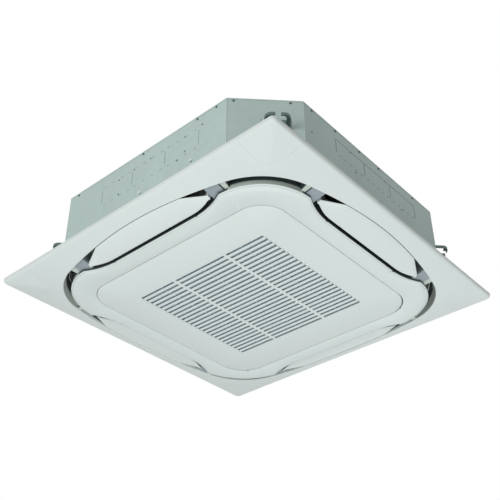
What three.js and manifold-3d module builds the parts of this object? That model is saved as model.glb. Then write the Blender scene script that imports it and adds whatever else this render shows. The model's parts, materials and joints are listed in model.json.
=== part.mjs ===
// A ceiling cassette air conditioner: the steel unit that hangs above a ceiling, and the panel below it.
// Millimetres, +Z up. The origin is on the unit's centre line, in the plane of the ceiling's lower face.
// X runs along the slats of the suction grille, and the grille drops open at its -Y edge.
import * as THREE from 'three';
import { mergeVertices } from 'three/addons/utils/BufferGeometryUtils.js';
import Module from 'manifold-3d';

const wasm = await Module();
wasm.setup();

// ---------------------------------------------------------------- driving dimensions

// Clearances
const SEAT_GAP = 0.3;
const PIN_GAP = 0.4;
const SEAM_GAP = 1.5;

// Panel
const PANEL_SIZE = 950;
const PANEL_CORNER_RADIUS = 12;
const RIM_HEIGHT = 12;
const RIM_WALL = 5;
const RIM_ROUND = 4;
const PANEL_WALL = 3;
const PANEL_DEPTH = 42;
const DUCT_HEIGHT = 8;
const BORDER_AT_SIDE = 37.5;
const BORDER_AT_CORNER = 117.5;
const OUTLET_CORNER_RADIUS = 180;
const OUTLET_DROP_AT_SIDE = 22;
const OUTLET_DROP_AT_CORNER = 30;
const OUTLET_WIDTH = 73.5;
const CORNER_SLOT_WIDTH = 22;
const OUTER_DUCT_DRAFT = 28;
const INNER_DUCT_DRAFT = 12;
const CORNER_DUCT_DRAFTS = [10, 4];
const FLARE_LENGTH = 71;
const FLARE_RADIUS = 210;
const RING_WIDTH = 47.5;
const RING_CORNER_RADIUS = 76.5;
const RING_EDGE_RISE = 2;
const RING_CORNER_RISE = 7;
const GRILLE_LEDGE = 13.5;
const LEDGE_HEIGHT = 20;
const BRIDGE_GAP = 2;
const BRIDGE_LENGTH = 50;
const BRIDGE_RECESS = 5;
const COVER_SIZE = 105;
const COVER_ROUND = 45;

// Flaps
const FLAP_END_MARGIN = 264;
const FLAP_GAP_OUTSIDE = 3;
const FLAP_GAP_INSIDE = 7;
const FLAP_THICKNESS = 3;
const FLAP_RECESS = 5;
const FLAP_BULGE = 3;
const FLAP_TAPER = 63;
const FLAP_FLARE_RADIUS = 130;
const FLAP_TIP_WIDTH = 8;
const FLAP_TIP_HEIGHT = -30;
const FLAP_AXIS_INSET = 47.5;
const FLAP_AXIS_HEIGHT = -20;
const FLAP_PIN_RADIUS = 2.5;
const FLAP_PIN_LENGTH = 8;
const FLAP_LUG_LENGTH = 7;
const MOTOR_CAN_RADIUS = 11.5;
const MOTOR_CAN_LENGTH = 19;
const MOTOR_SHAFT_OFFSET = 8.5;

// Suction grille and filter
const GRILLE_THICKNESS = 3;
const GRILLE_FLANGE_HEIGHT = 15;
const GRILLE_FLANGE_INSET = 7.5;
const GRILLE_FLANGE_WALL = 2.5;
const SLOT_PITCH = 16.9;
const SLOT_OPENING = 8.6;
const SLOT_SIDE_MARGIN = 100;
const SLOT_END_MARGIN = 107;
const SLOT_RIB_WIDTH = 8;
const SLOT_RIB_INSET = 126;
const HINGE_RISE = 4.2;
const HINGE_OFFSET = 163;
const HINGE_PIN_RADIUS = 1.4;
const HINGE_PIN_LENGTH = 28;
const KNUCKLE_WIDTH = 12;
const HINGE_EAR_WIDTH = 6;
const HINGE_EAR_RADIUS = 2.7;
const HINGE_SKIN = 1.2;
const HINGE_CORNER_EXTRA = 7;
const FILTER_MARGIN = 18;
const FILTER_GUIDE_LENGTH = 200;
const FILTER_HEIGHT = 6;
const FILTER_BORDER = 12;
const FILTER_NET = 1;
const LATCH_OFFSET = 150;
const LATCH_WIDTH = 24;
const LATCH_REACH = 12;
const LATCH_TRAVEL = 7;

// Unit body
const PANEL_OVERLAP = 55;
const CHAMFER_CLEARANCE = 6.46;
const BODY_LIFT = 10;
const BODY_HEIGHT = 204;
const SHEET = 1.2;
const LINER_WALL = 8;
const PAN_HEIGHT = 34.5;
const PAN_INNER_WALL = 33;
const AIR_PASSAGE = 85;
const COIL_DEPTH = 40;
const COIL_CORNER_RADIUS = 60;
const COIL_OPEN_CORNER = 110;
const COIL_PLATE = 2;
const TROUGH_MARGIN = 6;
const TROUGH_FLOOR = 12.5;
const PANEL_SCREW_INSET = 80;
const PANEL_SCREW_RADIUS = 3;

// Fan
const FAN_CLEARANCE = 57;
const IMPELLER_BLADES = 7;
const SHROUD_WIDTH = 22;
const THROAT_GAP = 7;
const THROAT_RISE = 4;
const BELL_FLANGE = 22;
const BLADE_DEPTH = 88;
const BLADE_WALL = 4;
const PLATE_RISE = 33;
const MOTOR_RADIUS = 70;
const MOTOR_HEIGHT = 80;
const SHAFT_RADIUS = 6;
const SHAFT_LENGTH = 43;
const BUSH_RADIUS = 9;
const BUSH_HEIGHT = 13.2;
const BUSH_CIRCLE = 88;

// Hanger brackets: the bolts stand on a rectangle that is longer in X by this difference
const HANGER_PITCH_DIFFERENCE = 70;
const HANGER_HEIGHT = 124;
const HANGER_WIDTH = 62;
const HANGER_REACH = 51;
const HANGER_BAND = 10;
const HANGER_MOUTH = 14;
const HANGER_LIP = 9;
const HANGER_SHEET = 2.6;

// Services
const GAS_PIPE_RADIUS = 7.95;
const LIQUID_PIPE_RADIUS = 4.75;
const PIPE_STUB = 50;
const GAS_PIPE_STEP = 15;
const PIPE_SPACING = 30;
const GAS_PIPE_Z = 110;
const LIQUID_PIPE_Z = 70;
const DRAIN_PORT_INSET = 158;
const DRAIN_PORT_Z = 130;
const DRAIN_PORT_RADIUS = 16;
const PUMP_INSETS = [102, 92];
const PUMP_RADIUS = 26;
const SWITCH_INSETS = [164, 68];
const SWITCH_STEM_RADIUS = 3;
const FLOAT_RADIUS = 11;
const CONTROL_BOX = { width: 72, length: 280, height: 33, wall: 2 };

const DEGREE = Math.PI / 180;

// ---------------------------------------------------------------- sizes that follow from these

const RIM = PANEL_SIZE / 2;
const OUTLET_OUTER = RIM - BORDER_AT_SIDE;
const OUTLET_OUTER_CORNER = RIM - BORDER_AT_CORNER;
const RING_EDGE = OUTLET_OUTER - OUTLET_WIDTH;
const SEAM = RING_EDGE - RING_WIDTH;
const INTAKE = SEAM - GRILLE_LEDGE;
const GRILLE = SEAM - SEAM_GAP;
const PANEL_BOTTOM = -PANEL_DEPTH;
const GRILLE_TOP = PANEL_BOTTOM + GRILLE_THICKNESS;
const LEDGE_BOTTOM = PANEL_BOTTOM + LEDGE_HEIGHT;
const LEDGE_TOP = LEDGE_BOTTOM + PANEL_WALL - 0.5;
const FLAP_AXIS = OUTLET_OUTER - FLAP_AXIS_INSET;
const FLAP_HALF_LENGTH = RIM - FLAP_END_MARGIN;
const FLAP_SHOULDER = FLAP_HALF_LENGTH - FLAP_TAPER;
const FLARE_START = FLAP_HALF_LENGTH - FLARE_LENGTH;
const BRIDGE_START = FLAP_HALF_LENGTH + BRIDGE_GAP;
const SLOT_FIELD_LENGTH = 2 * (GRILLE - SLOT_SIDE_MARGIN);
const SLOT_ROWS = 1 + Math.floor((2 * (GRILLE - SLOT_END_MARGIN) - SLOT_OPENING) / SLOT_PITCH);
const FILTER_HALF = INTAKE - FILTER_MARGIN;
const PANEL_SCREW_PLACE = RIM - PANEL_SCREW_INSET;

const BODY = RIM - PANEL_OVERLAP;
const BODY_TOP = BODY_LIFT + BODY_HEIGHT;
const ROOF_BOTTOM = BODY_TOP - SHEET;
const CASING_TOP = ROOF_BOTTOM - SEAT_GAP;
const FLANGE_TOP = BODY_LIFT + SHEET;
const PAN_BOTTOM = FLANGE_TOP + SEAT_GAP;
const PAN_TOP = PAN_BOTTOM + PAN_HEIGHT;
const COIL_BOTTOM = PAN_BOTTOM + TROUGH_FLOOR + SEAT_GAP;
const COIL_TOP = CASING_TOP;
const COIL_HALF = BODY - AIR_PASSAGE;
const COIL_INNER = COIL_HALF - COIL_DEPTH;
const COIL_END = COIL_HALF - COIL_OPEN_CORNER;
const PAN_BOWL_RADIUS = COIL_INNER - PAN_INNER_WALL;
const BELL_FLANGE_RADIUS = PAN_BOWL_RADIUS + BELL_FLANGE;
const IMPELLER_RADIUS = COIL_INNER - FAN_CLEARANCE;
const IMPELLER_EYE_RADIUS = IMPELLER_RADIUS - SHROUD_WIDTH;
const THROAT_RADIUS = IMPELLER_EYE_RADIUS - THROAT_GAP;
const SHROUD_HEIGHT = PAN_TOP;
const THROAT_HEIGHT = SHROUD_HEIGHT + THROAT_RISE;
const MOTOR_EAR_TOP = CASING_TOP - BUSH_HEIGHT - SEAT_GAP;
const MOTOR_TOP = MOTOR_EAR_TOP + 6;
const MOTOR_BOTTOM = MOTOR_TOP - MOTOR_HEIGHT;
const IMPELLER_PLATE_HEIGHT = MOTOR_BOTTOM + PLATE_RISE;
const SHAFT_END = MOTOR_BOTTOM - SHAFT_LENGTH;
const CHAMFER_DISTANCE = OUTLET_OUTER_CORNER * Math.SQRT2 - CORNER_DUCT_DRAFTS[0] + CHAMFER_CLEARANCE;
const BODY_CHAMFER = 2 * BODY - CHAMFER_DISTANCE * Math.SQRT2;
const COVER_EDGE = RIM - COVER_SIZE;

// ---------------------------------------------------------------- plan curves
// Each curve gives the distance from the centre for a ray at an angle from the middle of a side,
// from 0 to 45 degrees.

function rayToCircle(angle, u, v, radius, side) {
  const along = u * Math.cos(angle) + v * Math.sin(angle);
  const across = u * Math.sin(angle) - v * Math.cos(angle);
  return along + side * Math.sqrt(Math.max(radius * radius - across * across, 0));
}

function roundedSquare(half, radius) {
  const centre = half - radius;
  return angle => {
    if (half * Math.tan(angle) <= centre) return half / Math.cos(angle);
    return rayToCircle(angle, centre, centre, radius, 1);
  };
}

// The outlet's outer edge: an arc at each corner, and long shallow arcs that run smoothly into them.
const cornerCentre = OUTLET_OUTER_CORNER - OUTLET_CORNER_RADIUS / Math.SQRT2;
const centreStep = OUTLET_OUTER - cornerCentre;
const bowRadius = (centreStep ** 2 + cornerCentre ** 2 - OUTLET_CORNER_RADIUS ** 2)
  / (2 * (centreStep - OUTLET_CORNER_RADIUS));
const sideCentre = OUTLET_OUTER - bowRadius;
const cornerStart = Math.atan2(cornerCentre, cornerCentre - sideCentre);
const cornerStartAngle = Math.atan2(
  cornerCentre + OUTLET_CORNER_RADIUS * Math.sin(cornerStart),
  cornerCentre + OUTLET_CORNER_RADIUS * Math.cos(cornerStart));

function outletEdge(angle) {
  if (angle < cornerStartAngle) return rayToCircle(angle, sideCentre, 0, bowRadius, 1);
  return rayToCircle(angle, cornerCentre, cornerCentre, OUTLET_CORNER_RADIUS, 1);
}

// The central ring's outer edge: straight along each flap, then flared out to the corner slots.
function ringEdge(angle) {
  const corner = rayToCircle(angle, cornerCentre, cornerCentre, OUTLET_CORNER_RADIUS - CORNER_SLOT_WIDTH, 1);
  const straight = RING_EDGE / Math.cos(angle);
  if (straight * Math.sin(angle) <= FLARE_START) return straight;
  const flare = rayToCircle(angle, RING_EDGE + FLARE_RADIUS, FLARE_START, FLARE_RADIUS, -1);
  return Math.min(corner, flare);
}

const rimEdge = roundedSquare(RIM, PANEL_CORNER_RADIUS);
const seamEdge = roundedSquare(SEAM, RING_CORNER_RADIUS);
const intakeEdge = roundedSquare(INTAKE, RING_CORNER_RADIUS - GRILLE_LEDGE);
const towardsCorner = angle => Math.sin(2 * angle) ** 2;
const outletDrop = angle => -OUTLET_DROP_AT_SIDE
  - (OUTLET_DROP_AT_CORNER - OUTLET_DROP_AT_SIDE) * towardsCorner(angle);
const ringEdgeHeight = angle => PANEL_BOTTOM + RING_EDGE_RISE
  + (RING_CORNER_RISE - RING_EDGE_RISE) * towardsCorner(angle) ** 4;

// The tops of the duct walls lean in from the outlet's edges, less so at the corner slots.
const outerDuct = angle => outletEdge(angle) - OUTER_DUCT_DRAFT
  + (OUTER_DUCT_DRAFT - CORNER_DUCT_DRAFTS[0]) * towardsCorner(angle) ** 2;
const innerDuct = angle => ringEdge(angle) - INNER_DUCT_DRAFT
  + (INNER_DUCT_DRAFT - CORNER_DUCT_DRAFTS[1]) * towardsCorner(angle) ** 2;

// Rays at which the curves are read, in degrees from the middle of a side, then all the way round.
const OCTANT = [0, 12, 22, 28.5, 33.5, 37.2, 40, 42.5, 44.3, 45];
const STATIONS = [0, 1, 2, 3].flatMap(side => {
  const rising = OCTANT.map(angle => 90 * side + angle);
  const falling = OCTANT.slice(1, -1).reverse().map(angle => 90 * side + 90 - angle);
  return [...rising, ...falling];
});

function octantAngle(degrees) {
  const turned = ((degrees % 90) + 90) % 90;
  return Math.min(turned, 90 - turned) * DEGREE;
}

function planPoint(degrees, distance) {
  return [distance * Math.cos(degrees * DEGREE), distance * Math.sin(degrees * DEGREE)];
}

// ---------------------------------------------------------------- solids

function solid(geometry) {
  const bare = geometry.clone();
  for (const name of Object.keys(bare.attributes)) {
    if (name !== 'position') bare.deleteAttribute(name);
  }
  const merged = mergeVertices(bare, 1e-4);
  return new wasm.Manifold(new wasm.Mesh({
    numProp: 3,
    vertProperties: new Float32Array(merged.attributes.position.array),
    triVerts: new Uint32Array(merged.index.array),
  }));
}

function surface(body) {
  const mesh = body.getMesh();
  const geometry = new THREE.BufferGeometry();
  geometry.setAttribute('position', new THREE.BufferAttribute(new Float32Array(mesh.vertProperties), 3));
  geometry.setIndex(new THREE.BufferAttribute(new Uint32Array(mesh.triVerts), 1));
  geometry.computeVertexNormals();
  return geometry;
}

const joined = (...bodies) => bodies.reduce((whole, piece) => whole.add(piece));
const cut = (body, ...tools) => tools.reduce((rest, tool) => rest.subtract(tool), body);

function signedVolume(points, faces) {
  let sum = 0;
  for (const [a, b, c] of faces) {
    const [p, q, r] = [points[a], points[b], points[c]];
    sum += p[0] * (q[1] * r[2] - q[2] * r[1]);
    sum -= p[1] * (q[0] * r[2] - q[2] * r[0]);
    sum += p[2] * (q[0] * r[1] - q[1] * r[0]);
  }
  return sum;
}

function closedMesh(points, faces) {
  const outward = signedVolume(points, faces) > 0 ? faces : faces.map(([a, b, c]) => [a, c, b]);
  const geometry = new THREE.BufferGeometry();
  geometry.setAttribute('position', new THREE.BufferAttribute(new Float32Array(points.flat()), 3));
  geometry.setIndex(outward.flat());
  return solid(geometry);
}

// Skins a row of equal closed loops of points. A ring joins its last loop to its first,
// and a bar is capped at both ends.
function skinned(loops, isRing) {
  const size = loops[0].length;
  const faces = [];
  const last = isRing ? loops.length : loops.length - 1;
  for (let row = 0; row < last; row += 1) {
    const next = (row + 1) % loops.length;
    for (let i = 0; i < size; i += 1) {
      const j = (i + 1) % size;
      const [a, b, c, d] = [row * size + i, row * size + j, next * size + j, next * size + i];
      faces.push([a, b, c], [a, c, d]);
    }
  }
  if (!isRing) {
    const end = (loops.length - 1) * size;
    for (let i = 0; i < size / 2 - 1; i += 1) {
      const [a, b, c, d] = [i, i + 1, size - 2 - i, size - 1 - i];
      faces.push([a, c, b], [a, d, c], [end + a, end + b, end + c], [end + a, end + c, end + d]);
    }
  }
  return closedMesh(loops.flat(), faces);
}

// Sweeps a section of [distance, height] points all round the unit, worked out anew at each station.
function ringSolid(section) {
  return skinned(STATIONS.map(degrees => section(octantAngle(degrees))
    .map(([distance, height]) => [...planPoint(degrees, distance), height])), true);
}

function outline(points) {
  return points.map(([x, y]) => new THREE.Vector2(x, y));
}

function slab(points, low, high, holes = []) {
  const shape = new THREE.Shape(outline(points));
  for (const hole of holes) shape.holes.push(new THREE.Path(outline(hole)));
  const geometry = new THREE.ExtrudeGeometry(shape, { depth: high - low, bevelEnabled: false, steps: 1 });
  return solid(geometry.translate(0, 0, low));
}

function block(x, y, z) {
  const geometry = new THREE.BoxGeometry(x[1] - x[0], y[1] - y[0], z[1] - z[0]);
  return solid(geometry.translate((x[0] + x[1]) / 2, (y[0] + y[1]) / 2, (z[0] + z[1]) / 2));
}

function post(x, y, low, high, radius, sides = 20) {
  const geometry = new THREE.CylinderGeometry(radius, radius, high - low, sides).rotateX(Math.PI / 2);
  return solid(geometry.translate(x, y, (low + high) / 2));
}

function rodX(x, y, z, radius, sides = 16) {
  const geometry = new THREE.CylinderGeometry(radius, radius, x[1] - x[0], sides).rotateZ(Math.PI / 2);
  return solid(geometry.translate((x[0] + x[1]) / 2, y, z));
}

function rodY(x, y, z, radius, sides = 16) {
  const rod = new THREE.CylinderGeometry(radius, radius, y[1] - y[0], sides);
  return solid(rod.translate(x, (y[0] + y[1]) / 2, z));
}

// Turns a closed [radius, height] profile about the unit's centre line.
function turned(profile, sides) {
  const points = outline(profile);
  const ordered = THREE.ShapeUtils.isClockWise(points) ? points.reverse() : points;
  return solid(new THREE.LatheGeometry([...ordered, ordered[0]], sides).rotateX(Math.PI / 2));
}

function tube(points, radius, sides = 10, steps = 16) {
  const stops = points.map(point => new THREE.Vector3(...point));
  const path = new THREE.CatmullRomCurve3(stops, false, 'centripetal');
  const section = new THREE.Shape(Array.from({ length: sides }, (_, i) => new THREE.Vector2(
    radius * Math.cos(2 * Math.PI * i / sides), radius * Math.sin(2 * Math.PI * i / sides))));
  return solid(new THREE.ExtrudeGeometry(section, { steps, extrudePath: path, bevelEnabled: false }));
}

function arcPoints(x, y, radius, from, to, steps) {
  return Array.from({ length: steps + 1 }, (_, i) => {
    const angle = (from + (to - from) * i / steps) * DEGREE;
    return [x + radius * Math.cos(angle), y + radius * Math.sin(angle)];
  });
}

function roundedRectangle(halfX, halfY, radius, steps = 4) {
  const [x, y] = [halfX - radius, halfY - radius];
  return [
    ...arcPoints(x, y, radius, 0, 90, steps),
    ...arcPoints(-x, y, radius, 90, 180, steps),
    ...arcPoints(-x, -y, radius, 180, 270, steps),
    ...arcPoints(x, -y, radius, 270, 360, steps),
  ];
}

function octagon(half, chamfer) {
  const near = half - chamfer;
  return [[half, near], [near, half], [-near, half], [-half, near],
    [-half, -near], [-near, -half], [near, -half], [half, -near]];
}

// The unit's outline, moved inwards by an even distance.
function bodyOutline(inset) {
  return octagon(BODY - inset, BODY_CHAMFER - inset * (2 - Math.SQRT2));
}

function curvePoints(distance, step = 1) {
  const stations = STATIONS.filter((_, i) => i % step === 0);
  return stations.map(degrees => planPoint(degrees, distance(octantAngle(degrees))));
}

// ---------------------------------------------------------------- the scene graph

const unit = new THREE.Group();

const FINISHES = {
  panelWhite: { color: 0xe3e8e6, roughness: 0.42, metalness: 0 },
  flapWhite: { color: 0xe1e7e4, roughness: 0.4, metalness: 0 },
  zincSteel: { color: 0xa9b6b1, roughness: 0.4, metalness: 0.85 },
  darkSteel: { color: 0x4d5552, roughness: 0.45, metalness: 0.8 },
  foam: { color: 0xdcded8, roughness: 0.95, metalness: 0 },
  blackFoam: { color: 0x26292a, roughness: 0.95, metalness: 0 },
  greyPlastic: { color: 0x8d9699, roughness: 0.5, metalness: 0 },
  darkPlastic: { color: 0x3c4246, roughness: 0.5, metalness: 0 },
  aluminiumFin: { color: 0xb9c0c4, roughness: 0.35, metalness: 0.9 },
  copper: { color: 0xb5714a, roughness: 0.3, metalness: 0.95 },
  brass: { color: 0xc2a25a, roughness: 0.3, metalness: 0.95 },
  rubber: { color: 0x222425, roughness: 0.8, metalness: 0 },
};

function addPiece(name, body, finish, parent = unit) {
  const mesh = new THREE.Mesh(surface(body), new THREE.MeshStandardMaterial(FINISHES[finish]));
  mesh.name = name;
  parent.add(mesh);
  return mesh;
}

// Four groups turned to face the sides, so that +X in each is away from the unit's centre.
const SIDES = ['right', 'back', 'left', 'front'];
const CORNERS = ['right_back', 'left_back', 'left_front', 'right_front'];
const sideGroups = SIDES.map((_, quarter) => {
  const group = new THREE.Group();
  group.rotation.z = quarter * Math.PI / 2;
  unit.add(group);
  return group;
});

function onEverySide(body) {
  return SIDES.map((_, quarter) => solid(surface(body).rotateZ(quarter * Math.PI / 2)));
}

// ---------------------------------------------------------------- panel frame

function rimShellSection(angle) {
  const scale = 1 / Math.cos(angle);
  const rim = rimEdge(angle);
  const edge = outletEdge(angle);
  const drop = outletDrop(angle);
  const duct = outerDuct(angle);
  return [
    [rim, 0],
    [rim, -RIM_HEIGHT + RIM_ROUND],
    [rim - 0.3 * RIM_ROUND, -RIM_HEIGHT + 0.3 * RIM_ROUND],
    [rim - RIM_ROUND, -RIM_HEIGHT],
    [edge, drop],
    [edge - PANEL_WALL / 2, drop + PANEL_WALL / 2],
    [duct, DUCT_HEIGHT],
    [duct + PANEL_WALL, DUCT_HEIGHT],
    [edge + PANEL_WALL / 2, drop + 1.5 * PANEL_WALL],
    [rim - RIM_WALL * scale, -RIM_HEIGHT + PANEL_WALL + 1],
    [rim - RIM_WALL * scale, 0],
  ];
}

function centralRingSection(angle) {
  const edge = ringEdge(angle);
  const height = ringEdgeHeight(angle);
  const duct = innerDuct(angle);
  const seam = seamEdge(angle);
  const intake = intakeEdge(angle);
  return [
    [duct, DUCT_HEIGHT],
    [edge, height],
    [edge - 8, (height + PANEL_BOTTOM) / 2 - 0.5],
    [seam, PANEL_BOTTOM],
    [seam, LEDGE_BOTTOM],
    [intake, LEDGE_BOTTOM],
    [intake, DUCT_HEIGHT],
    [intake + 2.5, DUCT_HEIGHT],
    [intake + 2.5, LEDGE_TOP],
    [seam + 2.5, LEDGE_TOP],
    [seam + 2.5, PANEL_BOTTOM + PANEL_WALL],
    [edge - 6, height + PANEL_WALL],
    [duct - PANEL_WALL, DUCT_HEIGHT],
  ];
}

// The short bridges between rim and ring carry the flap pins.
function bridge(sign) {
  const inner = RING_EDGE + 8;
  const outer = OUTLET_OUTER - 17.5;
  const innerDrop = PANEL_BOTTOM + RING_EDGE_RISE + BRIDGE_RECESS + 4.5;
  const outerDrop = -OUTLET_DROP_AT_CORNER + BRIDGE_RECESS + 3;
  const section = y => [
    [inner, y, DUCT_HEIGHT],
    [inner, y, innerDrop],
    [outer, y, outerDrop],
    [outer, y, DUCT_HEIGHT],
  ];
  return skinned([section(sign * BRIDGE_START), section(sign * (BRIDGE_START + BRIDGE_LENGTH))], false);
}

// Each flap turns in a hole at both ends. Its motor sits in a room in the bridge at the +Y end of its side.
function flapMountings() {
  const far = BRIDGE_START + FLAP_PIN_LENGTH + 7.5;
  const hole = y => rodY(FLAP_AXIS, y, FLAP_AXIS_HEIGHT, FLAP_PIN_RADIUS + PIN_GAP);
  const half = MOTOR_CAN_RADIUS + 0.5;
  const floor = FLAP_AXIS_HEIGHT + MOTOR_SHAFT_OFFSET - half;
  const from = BRIDGE_START + 14;
  const room = block(
    [FLAP_AXIS - half, FLAP_AXIS + half],
    [from, from + MOTOR_CAN_LENGTH + 2],
    [floor, DUCT_HEIGHT + 1]);
  return joined(hole([BRIDGE_START - 1, far]), hole([-far, -BRIDGE_START + 1]), room);
}

// A corner cover's plan, a square with one rounded corner, moved inwards by an even distance.
function coverPlan(inset) {
  const near = COVER_EDGE + inset;
  const far = RIM + 10;
  const round = COVER_ROUND - inset;
  const roundedCorner = arcPoints(near + round, near + round, round, 180, 270, 5);
  return [...roundedCorner, [far, near], [far, far], [near, far]];
}

function envelopeSection(angle) {
  const rim = rimEdge(angle);
  const edge = outletEdge(angle);
  return [
    [rim - 2, -PANEL_WALL / 2],
    [rim - 2, -RIM_HEIGHT + 2],
    [rim - RIM_ROUND, -RIM_HEIGHT],
    [edge, outletDrop(angle)],
    [edge, -PANEL_WALL / 2],
  ];
}

const panelShell = ringSolid(rimShellSection);

function cornerPockets() {
  const floor = -PANEL_WALL / 2 - 2.5;
  const reach = RIM - RIM_WALL - 2 * SEAT_GAP;
  const wide = slab(coverPlan(-PANEL_WALL), -60, 0);
  const inside = slab(coverPlan(0), -60, floor);
  const withinRim = slab(roundedRectangle(reach, reach, 2 * PANEL_CORNER_RADIUS), -61, 2);
  const beyond = cut(slab(coverPlan(0), -60, 1), withinRim);
  const pocket = cut(ringSolid(envelopeSection).intersect(wide), inside, beyond);
  return onEverySide(pocket);
}

const hingeY = INTAKE - 0.5;
const hingeZ = PANEL_BOTTOM + HINGE_RISE;
const earFaces = [
  HINGE_OFFSET - KNUCKLE_WIDTH / 2 - SEAT_GAP - HINGE_EAR_WIDTH,
  HINGE_OFFSET + KNUCKLE_WIDTH / 2 + SEAT_GAP,
];
const earStarts = [...earFaces, ...earFaces.map(x => -x - HINGE_EAR_WIDTH)];

function hingeEar(from) {
  const ear = [from, from + HINGE_EAR_WIDTH];
  const round = rodX(ear, hingeY, hingeZ, HINGE_EAR_RADIUS);
  const arm = block(ear, [hingeY - 5, hingeY + 1], [hingeZ, LEDGE_BOTTOM + 1]);
  const root = block(ear, [hingeY - 5, hingeY + 3], [LEDGE_BOTTOM, LEDGE_BOTTOM + 12]);
  return joined(round, arm, root);
}

// Windows in the intake wall, through which the latch tongues reach over the ledge.
const latchWindows = [-1, 1].map(side => block(
  [side * LATCH_OFFSET - LATCH_WIDTH / 2 - 1, side * LATCH_OFFSET + LATCH_WIDTH / 2 + 1],
  [-INTAKE - 3, -INTAKE + 1], [LEDGE_TOP, LEDGE_TOP + 4]));

// A small relief in the ring at each end of the hinge side lets the grille's corner swing past.
function hingeReliefs() {
  const radius = RING_CORNER_RADIUS - SEAM_GAP + HINGE_CORNER_EXTRA;
  const centre = GRILLE - radius;
  const rise = hingeZ - PANEL_BOTTOM;
  const reach = centre + Math.sqrt(radius ** 2 - (hingeY - rise - centre) ** 2) + PIN_GAP;
  const across = [reach - 12, reach];
  const along = [hingeY - 4, hingeY + rise + PIN_GAP];
  const height = [PANEL_BOTTOM - 1, PANEL_BOTTOM + 2 * rise];
  return [block(across, along, height), block(across.map(x => -x).reverse(), along, height)];
}

function panelFrame() {
  const ring = ringSolid(centralRingSection);
  const bridges = [...onEverySide(bridge(1)), ...onEverySide(bridge(-1))];
  const patches = onEverySide(slab(coverPlan(0), -60, 10));
  const screwHole = post(PANEL_SCREW_PLACE, PANEL_SCREW_PLACE, -10, 4, PANEL_SCREW_RADIUS + PIN_GAP);
  const rim = joined(cut(panelShell, ...patches), ...cornerPockets());
  const pinHole = rodX([-RIM, RIM], hingeY, hingeZ, HINGE_PIN_RADIUS + SEAT_GAP, 12);
  const ears = cut(joined(...earStarts.map(hingeEar)), pinHole);
  const whole = joined(rim, ring, ears, ...bridges);
  const fittings = [...onEverySide(screwHole), ...onEverySide(flapMountings()), ...latchWindows];
  return cut(whole, ...fittings, ...hingeReliefs());
}

addPiece('panel_frame', panelFrame(), 'panelWhite');

const coverBody = panelShell.intersect(slab(coverPlan(SEAT_GAP), -60, 10));
CORNERS.forEach((corner, quarter) => {
  addPiece(`corner_cover_${corner}`, coverBody, 'panelWhite', sideGroups[quarter]);
});

// ---------------------------------------------------------------- flaps and their motors

function flapEdges(y) {
  const side = Math.abs(y);
  const bowed = sideCentre + Math.sqrt(bowRadius ** 2 - y * y) - FLAP_GAP_OUTSIDE;
  const shoulder = sideCentre + Math.sqrt(bowRadius ** 2 - FLAP_SHOULDER ** 2) - FLAP_GAP_OUTSIDE;
  const tip = FLAP_AXIS + FLAP_TIP_WIDTH / 2;
  const slant = shoulder + (tip - shoulder) * (side - FLAP_SHOULDER) / (FLAP_HALF_LENGTH - FLAP_SHOULDER);
  const outer = side < FLAP_SHOULDER ? bowed : slant;
  const past = Math.max(side - FLARE_START, 0);
  const flared = RING_EDGE + FLAP_GAP_INSIDE + past * past / (2 * FLAP_FLARE_RADIUS);
  const inner = Math.min(flared, FLAP_AXIS - FLAP_TIP_WIDTH / 2);
  return [inner, outer];
}

function flapSection(y) {
  const [inner, outer] = flapEdges(y);
  const lipDrop = outletDrop(Math.atan2(Math.min(Math.abs(y), FLAP_SHOULDER), OUTLET_OUTER));
  const past = Math.max(Math.abs(y) - FLAP_SHOULDER, 0) / (FLAP_HALF_LENGTH - FLAP_SHOULDER);
  const outerFace = lipDrop + (FLAP_TIP_HEIGHT - lipDrop) * past;
  const innerFace = PANEL_BOTTOM + RING_EDGE_RISE + FLAP_RECESS;
  const lower = [0, 0.25, 0.5, 0.75, 1].map(share => {
    const bulge = FLAP_BULGE * (outer - inner) / OUTLET_WIDTH * 4 * share * (1 - share);
    return [inner + (outer - inner) * share, y, innerFace + (outerFace - innerFace) * share - bulge];
  });
  const upper = lower.map(([x, , z], i) => [x, y, z + (i === 4 ? FLAP_THICKNESS / 2 : FLAP_THICKNESS)]);
  return [...lower, ...upper.reverse()];
}

function flapBody() {
  const taper = FLAP_HALF_LENGTH - FLAP_SHOULDER;
  const inTaper = [1, 2, 3].map(third => FLAP_SHOULDER + taper * third / 3);
  const half = [0, FLARE_START / 2, FLARE_START, FLAP_SHOULDER, ...inTaper];
  const places = [...half.slice(1).reverse().map(place => -place), ...half];
  const blade = skinned(places.map(flapSection), false);
  const from = FLAP_HALF_LENGTH - FLAP_LUG_LENGTH;
  const pinEnd = BRIDGE_START + FLAP_PIN_LENGTH;
  const lugWidth = [FLAP_AXIS - FLAP_TIP_WIDTH / 2, FLAP_AXIS + FLAP_TIP_WIDTH / 2];
  const lugHeight = [FLAP_AXIS_HEIGHT - 11, FLAP_AXIS_HEIGHT + 4];
  const ends = [1, -1].flatMap(sign => {
    const lug = [sign * from, sign * FLAP_HALF_LENGTH].sort((a, b) => a - b);
    const pin = [sign * (from + 1), sign * pinEnd].sort((a, b) => a - b);
    return [
      block(lugWidth, lug, lugHeight),
      rodY(FLAP_AXIS, pin, FLAP_AXIS_HEIGHT, FLAP_PIN_RADIUS, 14),
    ];
  });
  return joined(blade, ...ends);
}

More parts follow.
